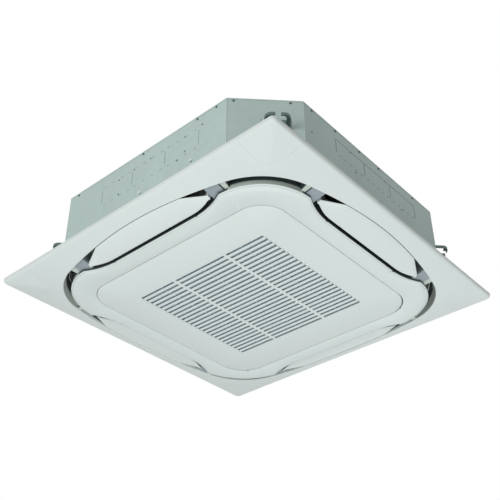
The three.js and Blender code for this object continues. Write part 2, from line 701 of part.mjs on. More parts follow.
function flapMotorBody() {
  const from = BRIDGE_START + 14 + SEAT_GAP;
  const z = FLAP_AXIS_HEIGHT + MOTOR_SHAFT_OFFSET;
  const can = rodY(FLAP_AXIS, [from, from + MOTOR_CAN_LENGTH], z, MOTOR_CAN_RADIUS, 24);
  const shaftStart = BRIDGE_START + FLAP_PIN_LENGTH + SEAT_GAP;
  const shaft = rodY(FLAP_AXIS, [shaftStart, from + 1], FLAP_AXIS_HEIGHT, FLAP_PIN_RADIUS, 14);
  const plug = block([FLAP_AXIS - 8, FLAP_AXIS + 8], [from + 4, from + 15], [z, z + MOTOR_CAN_RADIUS + 4]);
  return joined(can, shaft, plug);
}

const flap = flapBody();
const flapMotor = flapMotorBody();
SIDES.forEach((side, quarter) => {
  addPiece(`flap_${side}`, flap, 'flapWhite', sideGroups[quarter]);
  addPiece(`flap_motor_${side}`, flapMotor, 'greyPlastic', sideGroups[quarter]);
});

// ---------------------------------------------------------------- suction grille, filter and latches

function grilleSlots() {
  const end = SLOT_FIELD_LENGTH / 2;
  const rib = end - SLOT_RIB_INSET;
  const half = SLOT_RIB_WIDTH / 2;
  const columns = [[-end, -rib - half], [-rib + half, rib - half], [rib + half, end]];
  const first = -SLOT_PITCH * (SLOT_ROWS - 1) / 2;
  const slots = [];
  for (let row = 0; row < SLOT_ROWS; row += 1) {
    const y = first + row * SLOT_PITCH;
    const width = [y - SLOT_OPENING / 2, y + SLOT_OPENING / 2];
    for (const column of columns) {
      slots.push(block(column, width, [PANEL_BOTTOM - 1, GRILLE_TOP + 1]));
    }
  }
  return slots;
}

const squarePlan = (half, radius) => roundedRectangle(half, half, radius, 6);

// The plate's two corners beside the hinge are rounder, so that they clear the ring as the grille drops.
function grillePlan() {
  const radius = RING_CORNER_RADIUS - SEAM_GAP;
  const hingeRadius = radius + HINGE_CORNER_EXTRA;
  const corner = (signX, signY, round, from) => arcPoints(
    signX * (GRILLE - round), signY * (GRILLE - round), round, from, from + 90, 6);
  return [
    ...corner(1, 1, hingeRadius, 0),
    ...corner(-1, 1, hingeRadius, 90),
    ...corner(-1, -1, radius, 180),
    ...corner(1, -1, radius, 270),
  ];
}

function filterGuide(sign) {
  const edge = FILTER_HALF + 1;
  const lipBottom = GRILLE_TOP + SEAT_GAP + FILTER_HEIGHT + SEAT_GAP;
  const wall = [sign * edge, sign * (edge + 4)].sort((a, b) => a - b);
  const lip = [sign * (edge - 6), sign * (edge + 4)].sort((a, b) => a - b);
  const along = [-FILTER_GUIDE_LENGTH / 2, FILTER_GUIDE_LENGTH / 2];
  return joined(
    block(wall, along, [GRILLE_TOP - 1, lipBottom + 1.5]),
    block(lip, along, [lipBottom, lipBottom + 1.5]));
}

function grilleBody() {
  const plate = cut(slab(grillePlan(), PANEL_BOTTOM, GRILLE_TOP), ...grilleSlots());
  const outer = GRILLE - GRILLE_FLANGE_INSET;
  const radius = RING_CORNER_RADIUS - SEAM_GAP - GRILLE_FLANGE_INSET;
  const flange = slab(squarePlan(outer, radius), GRILLE_TOP - 1, GRILLE_TOP + GRILLE_FLANGE_HEIGHT,
    [squarePlan(outer - GRILLE_FLANGE_WALL, radius - GRILLE_FLANGE_WALL)]);
  const notches = earStarts.map(x => block(
    [x - 0.5, x + HINGE_EAR_WIDTH + 0.5], [hingeY - 6, GRILLE - 0.8], [PANEL_BOTTOM + HINGE_SKIN, 0]));
  const knuckles = [-1, 1].map(side => block(
    [side * HINGE_OFFSET - KNUCKLE_WIDTH / 2, side * HINGE_OFFSET + KNUCKLE_WIDTH / 2],
    [hingeY - 4, hingeY + 3.5], [GRILLE_TOP - 1, hingeZ + 3.2]));
  const pinHole = rodX([-GRILLE, GRILLE], hingeY, hingeZ, HINGE_PIN_RADIUS + SEAT_GAP, 12);
  const hingeSide = HINGE_OFFSET + KNUCKLE_WIDTH * 3;
  const behindHinge = block([-hingeSide, hingeSide], [hingeY - 1, GRILLE], [GRILLE_TOP + 0.01, 0]);
  const openFlange = cut(flange, behindHinge);
  return cut(joined(plate, openFlange, filterGuide(1), filterGuide(-1), ...knuckles), pinHole, ...notches);
}

addPiece('suction_grille', grilleBody(), 'panelWhite');

function filterBody() {
  const half = FILTER_HALF;
  const low = GRILLE_TOP + SEAT_GAP;
  const square = (size, radius) => roundedRectangle(size, size, radius, 3);
  const frame = slab(square(half, 30), low, low + FILTER_HEIGHT, [square(half - FILTER_BORDER, 18)]);
  const net = slab(square(half - FILTER_BORDER / 2, 24), low + 2, low + 2 + FILTER_NET);
  const ribs = [-1, 0, 1].flatMap(place => [
    block([place * half / 2 - 2, place * half / 2 + 2], [-half + 5, half - 5], [low + 1, low + 5]),
    block([-half + 5, half - 5], [place * half / 2 - 2, place * half / 2 + 2], [low + 1, low + 5]),
  ]);
  return joined(frame, net, ...ribs);
}

addPiece('air_filter', filterBody(), 'darkPlastic');

// At rest a latch is drawn back. Its slide stays clear of the grille's flange over its whole travel.
function latchBody(side) {
  const x = [side * LATCH_OFFSET - LATCH_WIDTH / 2, side * LATCH_OFFSET + LATCH_WIDTH / 2];
  const tongue = LEDGE_TOP + SEAT_GAP;
  const front = -INTAKE + 0.6;
  const flangeInside = -GRILLE + GRILLE_FLANGE_INSET + GRILLE_FLANGE_WALL;
  const slide = flangeInside + LATCH_TRAVEL + SEAT_GAP;
  const stem = -INTAKE + LATCH_TRAVEL + SEAT_GAP;
  return joined(
    block(x, [slide, slide + LATCH_REACH], [GRILLE_TOP + SEAT_GAP, GRILLE_TOP + SEAT_GAP + 3]),
    block(x, [stem, stem + 3.5], [GRILLE_TOP + SEAT_GAP, tongue + 2.5]),
    block(x, [front, stem + 3.5], [tongue, tongue + 2.5]));
}

addPiece('grille_latch_left', latchBody(-1), 'greyPlastic');
addPiece('grille_latch_right', latchBody(1), 'greyPlastic');

for (const [name, side] of [['left', -1], ['right', 1]]) {
  const ends = [side * HINGE_OFFSET - HINGE_PIN_LENGTH / 2, side * HINGE_OFFSET + HINGE_PIN_LENGTH / 2];
  addPiece(`grille_pin_${name}`, rodX(ends, hingeY, hingeZ, HINGE_PIN_RADIUS, 12), 'zincSteel');
}

// ---------------------------------------------------------------- seals between panel and unit

const sealBottom = DUCT_HEIGHT + SEAT_GAP;

const outletSealOutline = curvePoints(angle => outerDuct(angle) + 6, 3);
const outletSealHole = curvePoints(outerDuct, 3);
const intakeSealOutline = curvePoints(angle => intakeEdge(angle) + 8, 2);
const intakeSealHole = curvePoints(angle => intakeEdge(angle) - 1, 2);
const outletSeal = slab(outletSealOutline, sealBottom, BODY_LIFT - SEAT_GAP, [outletSealHole]);
addPiece('outlet_seal', outletSeal, 'blackFoam');
const intakeSeal = slab(intakeSealOutline, sealBottom, PAN_BOTTOM - SEAT_GAP, [intakeSealHole]);
addPiece('intake_seal', intakeSeal, 'blackFoam');

// ---------------------------------------------------------------- steel casing and roof

const GAS_PIPE_Y = COIL_END + GAS_PIPE_STEP;
const LIQUID_PIPE_Y = GAS_PIPE_Y + PIPE_SPACING;
const DRAIN_PORT_X = -(BODY - DRAIN_PORT_INSET);

function servicePorts(grow) {
  const across = [GAS_PIPE_Y - 22 - grow, LIQUID_PIPE_Y + 14 + grow];
  const up = [LIQUID_PIPE_Z - 20 - grow, GAS_PIPE_Z + 24 + grow];
  return [
    block([-BODY - 10, -BODY + 20], across, up),
    rodY(DRAIN_PORT_X, [BODY - 20, BODY + 10], DRAIN_PORT_Z, DRAIN_PORT_RADIUS + 1 + grow, 20),
  ];
}

function diagonal(body, quarter) {
  return solid(surface(body).rotateZ((45 + 90 * quarter) * DEGREE));
}

// The base plate carries the walls. A lug at each of its corners takes a panel screw.
function basePlateBody() {
  const plate = slab(bodyOutline(0), BODY_LIFT, FLANGE_TOP, [curvePoints(angle => outerDuct(angle) - 1)]);
  const reach = PANEL_SCREW_PLACE * Math.SQRT2 + 14;
  const lug = block([CHAMFER_DISTANCE - 4, reach], [-18, 18], [BODY_LIFT, FLANGE_TOP]);
  const hole = post(PANEL_SCREW_PLACE, PANEL_SCREW_PLACE, 0, 30, PANEL_SCREW_RADIUS + PIN_GAP);
  const lugs = SIDES.map((_, quarter) => diagonal(lug, quarter));
  return cut(joined(plate, ...lugs), ...onEverySide(hole));
}

function casingBody() {
  const wall = slab(bodyOutline(0), FLANGE_TOP + SEAT_GAP, CASING_TOP, [bodyOutline(SHEET)]);
  return cut(wall, ...servicePorts(0));
}

addPiece('base_plate', basePlateBody(), 'zincSteel');
addPiece('side_casing', casingBody(), 'zincSteel');
addPiece('top_plate', slab(bodyOutline(0), ROOF_BOTTOM, BODY_TOP), 'zincSteel');

const linerOutline = bodyOutline(SHEET + SEAT_GAP);
const linerInside = bodyOutline(SHEET + SEAT_GAP + LINER_WALL);
const linerBody = slab(linerOutline, PAN_TOP + SEAT_GAP, CASING_TOP, [linerInside]);
addPiece('insulation_liner', cut(linerBody, ...servicePorts(3)), 'foam');

function panelScrew() {
  const floor = -PANEL_WALL / 2 - 2.5;
  const [x, y] = [PANEL_SCREW_PLACE, PANEL_SCREW_PLACE];
  return joined(
    post(x, y, floor - SEAT_GAP - 5, floor - SEAT_GAP, 6.5, 6),
    post(x, y, floor - SEAT_GAP - 1, BODY_LIFT + 12, PANEL_SCREW_RADIUS, 12));
}

const screw = panelScrew();
CORNERS.forEach((corner, quarter) => {
  addPiece(`panel_screw_${corner}`, screw, 'darkSteel', sideGroups[quarter]);
});

// ---------------------------------------------------------------- hanger brackets

function hangerPlan(inset) {
  const [from, to] = [SEAT_GAP, HANGER_REACH - inset];
  const half = HANGER_WIDTH / 2 - inset;
  const round = 16 - inset;
  return [[from, -half], ...arcPoints(to - round, -half + round, round, 270, 360, 4),
    ...arcPoints(to - round, half - round, round, 0, 90, 4), [from, half]];
}

// Local +X points away from the chamfered corner of the unit.
function hangerBody() {
  const half = HANGER_WIDTH / 2;
  const low = HANGER_HEIGHT - HANGER_LIP;
  const inner = half - HANGER_BAND;
  const slotRound = 8;
  const slot = roundedRectangle((HANGER_REACH - 2 * HANGER_BAND) / 2, inner, slotRound, 3)
    .map(([x, y]) => [x + HANGER_REACH / 2, y]);
  const mouthWidth = [-HANGER_MOUTH / 2, HANGER_MOUTH / 2];
  const mouth = block([HANGER_REACH / 2, HANGER_REACH + 5], mouthWidth, [low - 1, HANGER_HEIGHT + 1]);
  const plate = slab(hangerPlan(0), HANGER_HEIGHT - HANGER_SHEET, HANGER_HEIGHT, [slot]);
  const withinLip = hangerPlan(HANGER_SHEET).map(([x, y]) => [Math.max(x, 1), y]);
  const lip = slab(hangerPlan(0), low, HANGER_HEIGHT, [withinLip]);
  const upright = [low - 6, HANGER_HEIGHT + 22];
  const back = block([SEAT_GAP, SEAT_GAP + HANGER_SHEET], [-half - 4, half + 4], upright);
  return joined(cut(joined(plate, lip), mouth), back);
}

const hanger = hangerBody();
const hangerShift = HANGER_PITCH_DIFFERENCE / 2 / Math.SQRT2;
CORNERS.forEach((corner, quarter) => {
  const turn = (45 + 90 * quarter) * DEGREE;
  const along = quarter % 2 === 0 ? -hangerShift : hangerShift;
  const mesh = addPiece(`hanger_bracket_${corner}`, hanger, 'darkSteel');
  mesh.rotation.z = turn;
  mesh.position.set(
    CHAMFER_DISTANCE * Math.cos(turn) - along * Math.sin(turn),
    CHAMFER_DISTANCE * Math.sin(turn) + along * Math.cos(turn), 0);
});

// ---------------------------------------------------------------- drain pan, plug and bell mouth

const PLUG_PLACE = [COIL_INNER + 0.5, FLAP_HALF_LENGTH - 11];
const PLUG_RADIUS = 5;

// Points near the left back corner of the body, given by how far they lie inside its left and back walls.
function fromWalls([left, back]) {
  return [-(BODY - left), BODY - back];
}

const PUMP_PLACE = fromWalls(PUMP_INSETS);
const SWITCH_PLACE = fromWalls(SWITCH_INSETS);

function drainPanBody() {
  const pan = slab(linerOutline, PAN_BOTTOM, PAN_TOP, [arcPoints(0, 0, PAN_BOWL_RADIUS, 0, 350, 35)]);
  const outside = curvePoints(angle => outerDuct(angle) - 3);
  const inside = curvePoints(angle => innerDuct(angle) + 1);
  const duct = slab(outside, 0, 60, [inside]);
  const spoke = block([RING_EDGE - 40, BODY], [BRIDGE_START, BRIDGE_START + BRIDGE_LENGTH], [-1, 61]);
  const mirrored = block([RING_EDGE - 40, BODY], [-BRIDGE_START - BRIDGE_LENGTH, -BRIDGE_START], [-1, 61]);
  const ducts = cut(duct, ...onEverySide(spoke), ...onEverySide(mirrored));
  const wide = COIL_HALF + TROUGH_MARGIN;
  const narrow = COIL_INNER - TROUGH_MARGIN;
  const trough = slab(roundedRectangle(wide, wide, COIL_CORNER_RADIUS, 5), PAN_BOTTOM + TROUGH_FLOOR, 60,
    [roundedRectangle(narrow, narrow, 20, 3)]);
  const sumpPlan = [[170, 130], [180, 48], [104, 48], [68, 84], [68, 130]].map(fromWalls);
  const sump = slab(sumpPlan, PAN_BOTTOM + TROUGH_FLOOR, 60);
  const plugHole = post(...PLUG_PLACE, 0, 60, PLUG_RADIUS + SEAT_GAP, 14);
  return cut(pan, ducts, trough, sump, plugHole);
}

addPiece('drain_pan', drainPanBody(), 'foam');
addPiece('drain_plug', joined(
  post(...PLUG_PLACE, PAN_BOTTOM - 3, PAN_BOTTOM + TROUGH_FLOOR, PLUG_RADIUS, 14),
  post(...PLUG_PLACE, PAN_BOTTOM - 3, PAN_BOTTOM - SEAT_GAP, PLUG_RADIUS + 0.2, 14)), 'rubber');

// The bell mouth is an elliptical flare from the pan's bowl up to the throat, 2.5 thick.
function bellMouthBody() {
  const bellTop = PAN_BOTTOM - SEAT_GAP;
  const bowl = PAN_BOWL_RADIUS - 2;
  const flare = (inset, step) => [1, 2, 3, 4].map(i => {
    const turn = i * 22.5 * DEGREE;
    const radius = bowl - (bowl - THROAT_RADIUS - inset) * Math.sin(turn);
    return [radius, DUCT_HEIGHT + step + (THROAT_HEIGHT - DUCT_HEIGHT - step) * (1 - Math.cos(turn))];
  });
  return turned([
    [BELL_FLANGE_RADIUS, DUCT_HEIGHT],
    [bowl, DUCT_HEIGHT],
    ...flare(0, 0),
    ...flare(2.5, 3.2).reverse(),
    [bowl, bellTop],
    [BELL_FLANGE_RADIUS, bellTop],
  ], 32);
}

addPiece('bell_mouth', bellMouthBody(), 'darkPlastic');

// ---------------------------------------------------------------- coil and pipes

function coilOutline() {
  const centre = COIL_HALF - COIL_CORNER_RADIUS;
  const bend = (radius, signX, signY, from, to) => (
    arcPoints(signX * centre, signY * centre, radius, from, to, 5));
  const inside = COIL_CORNER_RADIUS - COIL_DEPTH;
  return [
    [-COIL_HALF, COIL_END],
    ...bend(COIL_CORNER_RADIUS, -1, -1, 180, 270),
    ...bend(COIL_CORNER_RADIUS, 1, -1, 270, 360),
    ...bend(COIL_CORNER_RADIUS, 1, 1, 0, 90),
    [-COIL_END, COIL_HALF], [-COIL_END, COIL_INNER],
    ...bend(inside, 1, 1, 90, 0),
    ...bend(inside, 1, -1, 360, 270),
    ...bend(inside, -1, -1, 270, 180),
    [-COIL_INNER, COIL_END],
  ];
}

addPiece('coil', slab(coilOutline(), COIL_BOTTOM, COIL_TOP), 'aluminiumFin');
const coilMiddle = COIL_HALF - COIL_DEPTH / 2;
const plateReach = [COIL_INNER - 3, COIL_HALF + 3];
const plateStart = COIL_END + SEAT_GAP;
const plateEnds = [plateStart, plateStart + COIL_PLATE];
const plateHeight = [COIL_BOTTOM, COIL_TOP];
const mirroredSpan = span => [-span[1], -span[0]];
addPiece('coil_plate_left', block(mirroredSpan(plateReach), plateEnds, plateHeight), 'zincSteel');
addPiece('coil_plate_back', block(mirroredSpan(plateEnds), plateReach, plateHeight), 'zincSteel');

const pipeEnd = -BODY - PIPE_STUB;
const headerStart = COIL_END + COIL_PLATE + 2 * SEAT_GAP;

// Heights of the short tubes between a header and the coil, spread evenly over the coil.
function feederHeights(count) {
  const [from, to] = [COIL_BOTTOM + 36, COIL_TOP - 42];
  return Array.from({ length: count }, (_, i) => from + (to - from) * i / (count - 1));
}

function gasPipeBody() {
  const header = post(-coilMiddle, GAS_PIPE_Y, COIL_BOTTOM + 20, COIL_TOP - 20, GAS_PIPE_RADIUS, 14);
  const run = rodX([pipeEnd, -coilMiddle], GAS_PIPE_Y, GAS_PIPE_Z, GAS_PIPE_RADIUS - 0.01, 14);
  const feeders = feederHeights(4).map(z => rodY(-coilMiddle, [headerStart, GAS_PIPE_Y], z, 3, 8));
  return joined(header, run, ...feeders);
}

function liquidPipeBody() {
  const x = -headerStart - 9;
  const header = post(x, coilMiddle, COIL_BOTTOM + 26, COIL_TOP - 30, LIQUID_PIPE_RADIUS, 12);
  const route = [
    [x, coilMiddle],
    [x, LIQUID_PIPE_Y + 14],
    [x - 14, LIQUID_PIPE_Y],
    [-COIL_HALF, LIQUID_PIPE_Y],
    [pipeEnd, LIQUID_PIPE_Y],
  ];
  const points = route.map(([across, along]) => [across, along, LIQUID_PIPE_Z]);
  const run = tube(points, LIQUID_PIPE_RADIUS - 0.01, 10, 24);
  const feeders = feederHeights(3).map(z => rodX([x, -headerStart], coilMiddle, z, 2.4, 8));
  return joined(header, run, ...feeders);
}

addPiece('gas_pipe', gasPipeBody(), 'copper');
addPiece('liquid_pipe', liquidPipeBody(), 'copper');

function flareNut(y, z, pipeRadius) {
  const x = [pipeEnd + 4, pipeEnd + 24];
  const bore = rodX([x[0] - 1, x[1] + 1], y, z, pipeRadius + SEAT_GAP, 14);
  return cut(rodX(x, y, z, pipeRadius * 1.75, 6), bore);
}

addPiece('gas_flare_nut', flareNut(GAS_PIPE_Y, GAS_PIPE_Z, GAS_PIPE_RADIUS), 'brass');
addPiece('liquid_flare_nut', flareNut(LIQUID_PIPE_Y, LIQUID_PIPE_Z, LIQUID_PIPE_RADIUS), 'brass');

function pipeCoverBody() {
  const plate = block(
    [-BODY - SEAT_GAP - SHEET, -BODY - SEAT_GAP],
    [GAS_PIPE_Y - 30, LIQUID_PIPE_Y + 19],
    [LIQUID_PIPE_Z - 30, GAS_PIPE_Z + 34]);
  const through = [-BODY - 10, -BODY + 10];
  const gasHole = rodX(through, GAS_PIPE_Y, GAS_PIPE_Z, GAS_PIPE_RADIUS + PIN_GAP, 14);
  const liquidHole = rodX(through, LIQUID_PIPE_Y, LIQUID_PIPE_Z, LIQUID_PIPE_RADIUS + PIN_GAP, 12);
  return cut(plate, gasHole, liquidHole);
}

addPiece('pipe_cover', pipeCoverBody(), 'zincSteel');

// ---------------------------------------------------------------- drain pump, float switch and drain line

const SUMP_FLOOR = PAN_BOTTOM + TROUGH_FLOOR;
const PUMP_TOP = 148;
const bracketBottom = PUMP_TOP + SEAT_GAP;
const bracketTop = bracketBottom + 2;

function pumpBody() {
  const [x, y] = PUMP_PLACE;
  return joined(
    post(x, y, 66, PUMP_TOP, PUMP_RADIUS, 20),
    post(x, y, SUMP_FLOOR + 4, 67, 9, 12),
    tube([[x, y, DRAIN_PORT_Z], [x + 18, y + 18, DRAIN_PORT_Z], [x + 27, y + 27, DRAIN_PORT_Z]], 8, 10, 4));
}

addPiece('drain_pump', pumpBody(), 'darkPlastic');

// A flat shelf for the pump and the switch, hung from the roof by two straps.
function pumpBracketBody() {
  const shelf = [[70, 114], [170, 114], [180, 56], [120, 54], [70, 98]].map(fromWalls);
  const [left, back] = fromWalls([90, 114]);
  const height = [bracketBottom, CASING_TOP];
  const strap = (from, width) => block([left + from, left + from + width], [back, back + 2], height);
  return joined(slab(shelf, bracketBottom, bracketTop), strap(0, 30), strap(68, 12));
}

addPiece('pump_bracket', pumpBracketBody(), 'zincSteel');

const switchBottom = SUMP_FLOOR + 5;
addPiece('float_switch', joined(
  post(...SWITCH_PLACE, PUMP_TOP - 16, PUMP_TOP, 10, 16),
  post(...SWITCH_PLACE, switchBottom, PUMP_TOP - 15, SWITCH_STEM_RADIUS, 12),
  post(...SWITCH_PLACE, switchBottom, switchBottom + 2, 5.5, 12)), 'greyPlastic');
const floatBottom = switchBottom + 2 + SEAT_GAP;
addPiece('switch_float', cut(
  post(...SWITCH_PLACE, floatBottom, floatBottom + 14, FLOAT_RADIUS, 16),
  post(...SWITCH_PLACE, floatBottom - 1, floatBottom + 15, SWITCH_STEM_RADIUS + SEAT_GAP, 12)), 'foam');
const hoseRoute = [
  [PUMP_PLACE[0] + 28, PUMP_PLACE[1] + 28],
  [PUMP_PLACE[0] + 40, PUMP_PLACE[1] + 44],
  [DRAIN_PORT_X, BODY - 30],
  [DRAIN_PORT_X, BODY - 20],
];
addPiece('drain_hose', tube(hoseRoute.map(([x, y]) => [x, y, DRAIN_PORT_Z]), 9, 10, 12), 'rubber');
addPiece('drain_socket', cut(
  joined(
    rodY(DRAIN_PORT_X, [BODY - 20 + SEAT_GAP, BODY + 32], DRAIN_PORT_Z, DRAIN_PORT_RADIUS, 20),
    rodY(DRAIN_PORT_X, [BODY + SEAT_GAP, BODY + SEAT_GAP + 3], DRAIN_PORT_Z, DRAIN_PORT_RADIUS + 8, 20)),
  rodY(DRAIN_PORT_X, [BODY - 12, BODY + 40], DRAIN_PORT_Z, DRAIN_PORT_RADIUS - 3, 20)), 'greyPlastic');

// ---------------------------------------------------------------- fan

function motorBody() {
  const can = turned([
    [0, SHAFT_END],
    [SHAFT_RADIUS, SHAFT_END],
    [SHAFT_RADIUS, MOTOR_BOTTOM - 4],
    [24, MOTOR_BOTTOM - 4],
    [24, MOTOR_BOTTOM],
    [MOTOR_RADIUS - 6, MOTOR_BOTTOM],
    [MOTOR_RADIUS, MOTOR_BOTTOM + 6],
    [MOTOR_RADIUS, MOTOR_TOP - 8],
    [MOTOR_RADIUS - 8, MOTOR_TOP],
    [0, MOTOR_TOP],
  ], 28);
  const ears = [0, 1, 2].map(i => solid(surface(joined(
    block([MOTOR_RADIUS - 8, BUSH_CIRCLE], [-9, 9], [MOTOR_EAR_TOP - 3, MOTOR_EAR_TOP]),
    post(BUSH_CIRCLE, 0, MOTOR_EAR_TOP - 3, MOTOR_EAR_TOP, 11, 16))).rotateZ(i * 2 * Math.PI / 3)));
  return joined(can, ...ears);
}

addPiece('fan_motor', motorBody(), 'darkSteel');
[0, 1, 2].forEach(i => {
  const angle = i * 2 * Math.PI / 3;
  const [x, y] = [BUSH_CIRCLE * Math.cos(angle), BUSH_CIRCLE * Math.sin(angle)];
  const bush = post(x, y, MOTOR_EAR_TOP + SEAT_GAP, CASING_TOP, BUSH_RADIUS, 14);
  addPiece(`motor_bush_${i + 1}`, bush, 'rubber');
});

function bladePlan(angle) {
  const count = 5;
  const sweep = -38;
  const line = offset => Array.from({ length: count + 1 }, (_, i) => {
    const share = i / count;
    const radius = IMPELLER_RADIUS - BLADE_DEPTH + (BLADE_DEPTH - 2) * share;
    const turn = angle + sweep * share ** 1.3 + offset / radius / DEGREE;
    return [radius * Math.cos(turn * DEGREE), radius * Math.sin(turn * DEGREE)];
  });
  return [...line(-BLADE_WALL / 2), ...line(BLADE_WALL / 2).reverse()];
}

function impellerBody() {
  const bore = SHAFT_RADIUS + 0.1;
  const plate = IMPELLER_PLATE_HEIGHT;
  const dome = MOTOR_BOTTOM - 20;
  const hub = turned([
    [bore, dome - 13],
    [14, dome - 13],
    [14, dome],
    [MOTOR_RADIUS + 14, dome],
    [MOTOR_RADIUS + 44, plate],
    [IMPELLER_RADIUS, plate],
    [IMPELLER_RADIUS, plate + 3],
    [MOTOR_RADIUS + 42, plate + 3],
    [MOTOR_RADIUS + 12, dome + 3.5],
    [14, dome + 3.5],
    [14, dome + 9],
    [bore, dome + 9],
  ], 28);
  const eye = IMPELLER_EYE_RADIUS;
  const shroud = turned([
    [eye + 2, SHROUD_HEIGHT],
    [eye + 2, SHROUD_HEIGHT + 6],
    [eye + 8, SHROUD_HEIGHT + 17],
    [IMPELLER_RADIUS + 2, SHROUD_HEIGHT + 31],
    [IMPELLER_RADIUS + 2, SHROUD_HEIGHT + 34],
    [eye + 4, SHROUD_HEIGHT + 20],
    [eye, SHROUD_HEIGHT + 7],
    [eye, SHROUD_HEIGHT],
  ], 28);
  const blades = Array.from({ length: IMPELLER_BLADES }, (_, i) => slab(
    bladePlan(i * 360 / IMPELLER_BLADES), SHROUD_HEIGHT + 28, plate + 1));
  return joined(hub, shroud, ...blades);
}

addPiece('impeller', impellerBody(), 'greyPlastic');
addPiece('fan_nut', cut(
  post(0, 0, SHAFT_END + 1, MOTOR_BOTTOM - 33 - SEAT_GAP, 11, 6),
  post(0, 0, SHAFT_END, MOTOR_BOTTOM - 30, SHAFT_RADIUS + SEAT_GAP, 20)), 'zincSteel');

// ---------------------------------------------------------------- control box under the bell mouth

function controlBoxBody(box) {
  const x = [-INTAKE + 5, -INTAKE + 5 + box.width];
  const y = [-box.length / 2, box.length / 2];
  const z = [bellBottom - box.height, bellBottom];
  const shell = block(x, y, z);
  const inside = block(
    [x[0] + box.wall, x[1] - box.wall],
    [y[0] + box.wall, y[1] - box.wall],
    [z[0] - 1, z[1] - box.wall]);
  return { shell: cut(shell, inside), x, y, bottom: z[0] };
}

const bellBottom = DUCT_HEIGHT - SEAT_GAP;
const controlBox = controlBoxBody(CONTROL_BOX);
addPiece('control_box', controlBox.shell, 'zincSteel');
addPiece('control_box_cover', block(controlBox.x, controlBox.y,
  [controlBox.bottom - SEAT_GAP - SHEET, controlBox.bottom - SEAT_GAP]), 'zincSteel');

export default unit;
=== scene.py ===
# A ceiling cassette air conditioner, seen from below and in front of one corner.
# Plan sizes are in millimetres until a mesh is made; the frame and every object are in metres.
import json
import math

import bmesh
import bpy
from mathutils import Matrix, Vector

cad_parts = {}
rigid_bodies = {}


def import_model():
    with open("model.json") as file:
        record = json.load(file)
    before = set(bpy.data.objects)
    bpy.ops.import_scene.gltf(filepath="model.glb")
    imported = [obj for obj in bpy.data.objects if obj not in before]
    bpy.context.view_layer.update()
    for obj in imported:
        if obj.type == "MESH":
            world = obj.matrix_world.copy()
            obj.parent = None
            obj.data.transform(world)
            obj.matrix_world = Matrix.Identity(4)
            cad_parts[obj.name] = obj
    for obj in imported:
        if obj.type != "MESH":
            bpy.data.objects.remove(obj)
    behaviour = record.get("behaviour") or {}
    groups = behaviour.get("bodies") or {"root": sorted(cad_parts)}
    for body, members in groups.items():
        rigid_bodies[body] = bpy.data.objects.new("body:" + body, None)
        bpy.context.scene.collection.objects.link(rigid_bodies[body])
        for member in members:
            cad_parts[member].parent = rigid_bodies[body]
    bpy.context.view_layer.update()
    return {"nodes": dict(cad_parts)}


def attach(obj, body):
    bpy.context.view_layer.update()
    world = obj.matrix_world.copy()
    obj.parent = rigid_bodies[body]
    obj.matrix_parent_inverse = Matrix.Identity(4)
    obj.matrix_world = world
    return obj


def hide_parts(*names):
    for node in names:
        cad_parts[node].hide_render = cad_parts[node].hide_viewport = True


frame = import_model()

SIDES = ("right", "back", "left", "front")
CORNERS = ("right_back", "left_back", "left_front", "right_front")
MM = 0.001

# ------------------------------------------------------------------ sizes

RIM = 475.0
RIM_HEIGHT = 12.0
RIM_ROUND = 9.0
RIM_CORNER_RADIUS = 12.0
RIM_WALL = 5.0
PANEL_WALL = 3.0
PANEL_BOTTOM = -42.0
DUCT_TOP = 8.0
OUTLET_MIDDLE = 437.5
OUTLET_CORNER = 357.5
OUTLET_CORNER_RADIUS = 180.0
OUTLET_DROP = (22.0, 30.0)
RING_EDGE = 364.0
RING_EDGE_HEIGHT = (-40.0, -35.0)
CORNER_SLOT = 22.0
FLARE_START = 140.0
FLARE_RADIUS = 210.0
FLAP_FLARE_RADIUS = 130.0
SEAM = 316.5
SEAM_RADIUS = 76.5
INTAKE = 303.0
LEDGE_BOTTOM = -22.0
LEDGE_TOP = -19.5
LEDGE_WALL = 2.5
DUCT_DRAFTS = ((28.0, 10.0), (12.0, 4.0))
# Wall lines: where the painted shade on the duct walls turns from the shaded grey foot to the near-black
# lining.
RING_WALL_LINE = -21.5
BORDER_WALL_LINE = -8.0
BORDER_SIDE_LINE = -20.5
CORNER_WALL_START = math.radians(34.3)
BRIDGE = (213.0, 263.0)
BRIDGE_BLOCK = ((372.0, -31.0), (420.0, -22.0))
BRIDGE_LUG = ((368.0, -31.5), (421.0, -23.5))
LIP_RADIUS = 1.6
POCKET_CENTRE = 415.0
POCKET_OUTSIDE = 48.0
POCKET_INSIDE = 45.2
POCKET_FLOOR = (-4.0, -1.5)
SCREW_TAB = (445.4, 24.0)
COVER_EDGE = 370.0
COVER_ROUND = 45.0
FLAP_AXIS = (390.0, -20.0)
FLAP_HALF = 211.0
FLAP_SHOULDER = 148.0
FLAP_TIP_HEIGHT = -30.0
FLAP_INSIDE_HEIGHT = -35.0
FLAP_GAP_OUTSIDE = 3.0
FLAP_GAP_INSIDE = 7.0
FLAP_NECK = 4.0
FLAP_CROWN = 3.0 / 73.5
FLAP_PIN_RADIUS = 2.5
GRILLE = 315.0
GRILLE_TOP = -39.0
GRILLE_FLANGE = (307.5, 67.5, 2.5)
GRILLE_FLANGE_TOP = -24.0
FILTER_HALF = 285.0
THREAD_PITCH = 5.0
HINGE = (302.5, -37.8)
HINGE_PLACE = 163.0
HINGE_EAR_RADIUS = 2.7
GRILLE_RADIUS = 75.0
HINGE_SIDE_RADIUS = 82.0
HINGE_EARS = (-175.3, -156.7, 150.7, 169.3)
HINGE_EAR_WIDTH = 6.0
HINGE_SKIN = 1.2
BEHIND_HINGE = 199.0
LATCH_WINDOW = ((137.0, 163.0), (-306.0, -302.0), (-19.5, -15.5))
HINGE_RELIEF = ((271.0, 283.0), (298.5, 307.1), (-43.0, -33.6))
SLOT_FIELD = (430.0, 25, 16.9, 8.6)
SLOT_RIB = 8.0
SLOT_RIB_PLACE = 89.0
BODY = 420.0
BODY_CHAMFER = 130.0
